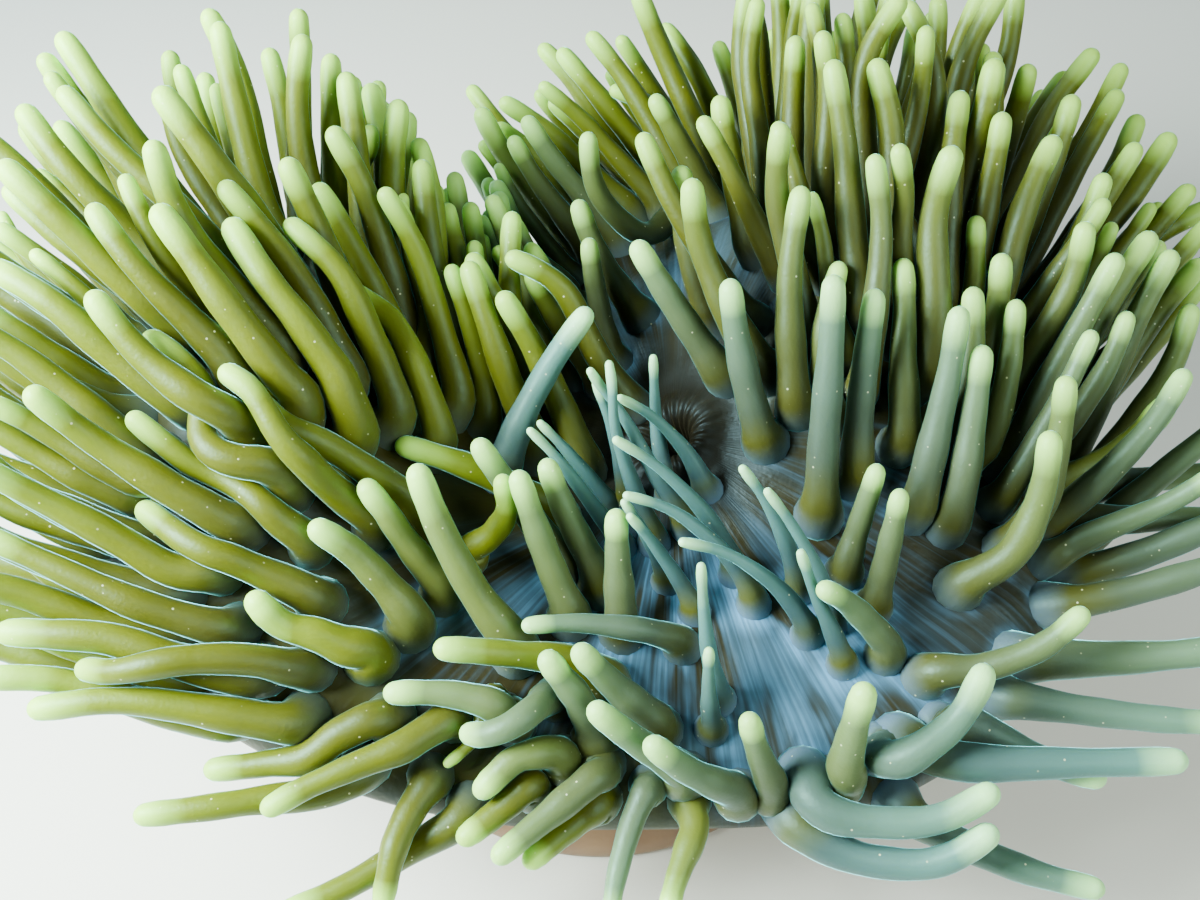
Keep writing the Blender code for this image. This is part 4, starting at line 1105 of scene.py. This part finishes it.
class AnemoneSettings(bpy.types.PropertyGroup):
    """Sizes and colours of the visible model"""

    root_radius: length_property("Root radius", "Radius of a tentacle low down", 4.6 * MM)
    tip_radius: length_property("Tip radius", "Radius of a tentacle near its tip", 2.45 * MM)
    rib_height: length_property("Rib height", "Height of the ribs on the disc", 0.12 * MM)
    wart_height: length_property("Wart height", "Height of the warts on the column", 1.1 * MM)
    # darker low down is partly painted shade; this colour also darkens the disc under the crowded
    # tentacles as painted shade
    root_and_shade_colour: colour_property("Root", "Tentacles low down", (0.074, 0.080, 0.008))
    middle_colour: colour_property("Middle", "Tentacles halfway up", (0.124, 0.146, 0.0))
    tip_colour: colour_property("Tip", "Tentacles near the tip", (0.150, 0.200, 0.004))
    end_colour: colour_property("End", "The last few millimetres", (0.48, 0.88, 0.13))
    # amber darkening: partly the tentacles' own tone, partly painted shade in the browner patches
    amber_and_shade_colour: colour_property("Amber", "Tint of the browner tentacles", (0.37, 0.28, 0.3))
    thin_colour: colour_property("Thin low", "Bluish tentacles, low", (0.034, 0.074, 0.088))
    thin_tip_colour: colour_property("Thin high", "Bluish tentacles, high", (0.070, 0.215, 0.240))
    thin_end_colour: colour_property("Thin end", "Ends of bluish tentacles", (0.38, 0.80, 0.50))
    collar_colour: colour_property("Collar", "Where tentacles flare into the disc", (0.09, 0.17, 0.27))
    speck_colour: colour_property("Specks", "Pale specks", (0.78, 0.85, 0.55))
    disc_colour: colour_property("Disc", "Skin round the mouth", (0.016, 0.034, 0.046))
    # brown clouds of the disc, and also painted shade at the roots and under the crowded tentacles
    disc_dark_and_shade_colour: colour_property("Disc dark", "Brown clouds of the disc", (0.022, 0.017, 0.003))
    # milky blue on the disc is partly painted highlight; its fine pale lines are the skin's own
    disc_pale_and_highlight_colour: colour_property("Disc pale", "Milky skin round the roots", (0.12, 0.32, 0.56))
    # painted shade: near black in the throat and round the mouth
    throat_shade_colour: colour_property("Throat", "Inside of the mouth", (0.010, 0.008, 0.005))
    column_colour: colour_property("Column", "Skin of the column", (0.34, 0.22, 0.13))
    column_dark_colour: colour_property("Column dark", "Darker clouds", (0.20, 0.12, 0.08))
    wart_colour: colour_property("Warts", "Warts of the column", (0.62, 0.55, 0.40))
    floor_colour: colour_property("Floor", "Floor of the stage", (0.80, 0.80, 0.78))
    key_power: power_property("Key light", "Power of the main light", 14.5)
    fill_power: power_property("Fill light", "Power of the side light", 3.6)
    rim_power: power_property("Back lights", "Power of the stronger light behind", 2.4)
    sky: FloatProperty(name="Sky", description="Strength of the even light", default=0.08, min=0)


class ANEMONE_OT_skin(bpy.types.Operator):
    """Make the one skin of throat, lips, disc, column and foot"""

    bl_idname = "anemone.skin"
    bl_label = "Skin"

    def execute(self, context):
        settings = context.scene.anemone
        grid, values = skin_grid(settings, disc_point(*TENTACLES[:2]))
        rows, turns = grid.shape[:2]
        centre = MOUTH[0], MOUTH[1], disc_level(*MOUTH) - THROAT_DEEP
        points = np.concatenate([grid.reshape(-1, 3), [centre, (0, 0, 0)]])
        values = {key: np.concatenate([v.reshape(-1), v[[0, -1], 0]]) for key, v in values.items()}
        quads, fans = closed_faces(rows, turns)
        corners, sizes = face_arrays(quads[:, [0, 3, 2, 1]], fans[:, [1, 0, 2]])
        skin = mesh_object("skin", points, corners, sizes, values, skin_look(settings))
        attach(skin, "root")
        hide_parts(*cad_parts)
        return {"FINISHED"}


class ANEMONE_OT_tentacles(bpy.types.Operator):
    """Make all tentacles, joined into one piece for each part of the disc"""

    bl_idname = "anemone.tentacles"
    bl_label = "Tentacles"

    def execute(self, context):
        settings = context.scene.anemone
        u, angle, lines, thick, blue = TENTACLES
        rng = np.random.default_rng(TONE_SEED)
        phase, tone_and_shade = rng.uniform(0, 2 * np.pi, len(u)), rng.uniform(*TONES, len(u))
        # partly painted shade: tentacles in the browner patches, mostly on the right lobe, are darkened
        tone_and_shade = tone_and_shade * (1 - patch_share(disc_point(u, angle), BROWN_AND_SHADE_PATCHES))
        names = np.array([group_of(*root) for root in zip(u, angle)])
        look = tentacle_look(settings)
        for name in (INNER_GROUP, *GROUPS):
            own = names == name
            tubes = [v[own] for v in (u, angle, lines, thick, phase)]
            piece = tentacle_piece(name, tubes, blue[own], tone_and_shade[own], settings, look)
            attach(piece, "root")
            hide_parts(*GROUPS.get(name, ("oral_disc",)))
        return {"FINISHED"}


def area_light(name, place, size, power, colour):
    """a square soft light that points at what the camera looks at"""
    light = bpy.data.lights.new(name, "AREA")
    light.size = size
    light.energy = power
    light.color = colour
    obj = bpy.data.objects.new(name, light)
    obj.location = place
    obj.rotation_euler = (Vector(VIEW_TARGET) - Vector(place)).to_track_quat("-Z", "Y").to_euler()
    bpy.context.scene.collection.objects.link(obj)


class ANEMONE_OT_stage(bpy.types.Operator):
    """Make the floor, the lights and the camera at the viewer's angle"""

    bl_idname = "anemone.stage"
    bl_label = "Stage"

    def execute(self, context):
        settings = context.scene.anemone
        corners = np.array([(-1, -1, 0), (1, -1, 0), (1, 1, 0), (-1, 1, 0)]) * FLOOR_HALF
        floor = mesh_object("floor", corners, np.arange(4), np.array([4]), {}, floor_look(settings))
        for name, (place, size, setting, share, colour) in LIGHTS.items():
            area_light(name, place, size, share * getattr(settings, setting), colour)
        world = context.scene.world or bpy.data.worlds.new("sky")
        context.scene.world = world
        world.use_nodes = True
        sky = world.node_tree.nodes["Background"]
        sky.inputs["Color"].default_value = SKY_COLOUR
        sky.inputs["Strength"].default_value = settings.sky
        camera = bpy.data.cameras.new("camera")
        camera.sensor_width = SENSOR
        camera.lens = 0.5 * SENSOR / math.tan(0.5 * VIEW_WIDE)
        camera.clip_start = 10 * MM
        obj = bpy.data.objects.new("camera", camera)
        back = Vector(TOWARD)
        obj.location = Vector(VIEW_TARGET) + back * VIEW_AWAY
        obj.rotation_euler = (-back).to_track_quat("-Z", "Y").to_euler()
        context.scene.collection.objects.link(obj)
        context.scene.camera = obj
        return {"FINISHED"}


class ANEMONE_PT_panel(bpy.types.Panel):
    """Lists the sizes, colours and steps of the model"""

    bl_idname = "ANEMONE_PT_panel"
    bl_label = "Sea anemone"
    bl_space_type = "VIEW_3D"
    bl_region_type = "UI"
    bl_category = "Anemone"

    def draw(self, context):
        for step in OPERATORS:
            self.layout.operator(step.bl_idname)
        for key in AnemoneSettings.__annotations__:
            self.layout.prop(context.scene.anemone, key)


OPERATORS = (ANEMONE_OT_skin, ANEMONE_OT_tentacles, ANEMONE_OT_stage)
CLASSES = (AnemoneSettings, *OPERATORS, ANEMONE_PT_panel)


def register():
    """make the classes and the settings known to Blender"""
    for made in CLASSES:
        bpy.utils.register_class(made)
    bpy.types.Scene.anemone = PointerProperty(type=AnemoneSettings)


def unregister():
    """take the settings and the classes away again"""
    del bpy.types.Scene.anemone
    for made in reversed(CLASSES):
        bpy.utils.unregister_class(made)


def main():
    """run the steps in order"""
    register()
    bpy.ops.anemone.skin()
    bpy.ops.anemone.tentacles()
    bpy.ops.anemone.stage()


if __name__ == "__main__":
    main()
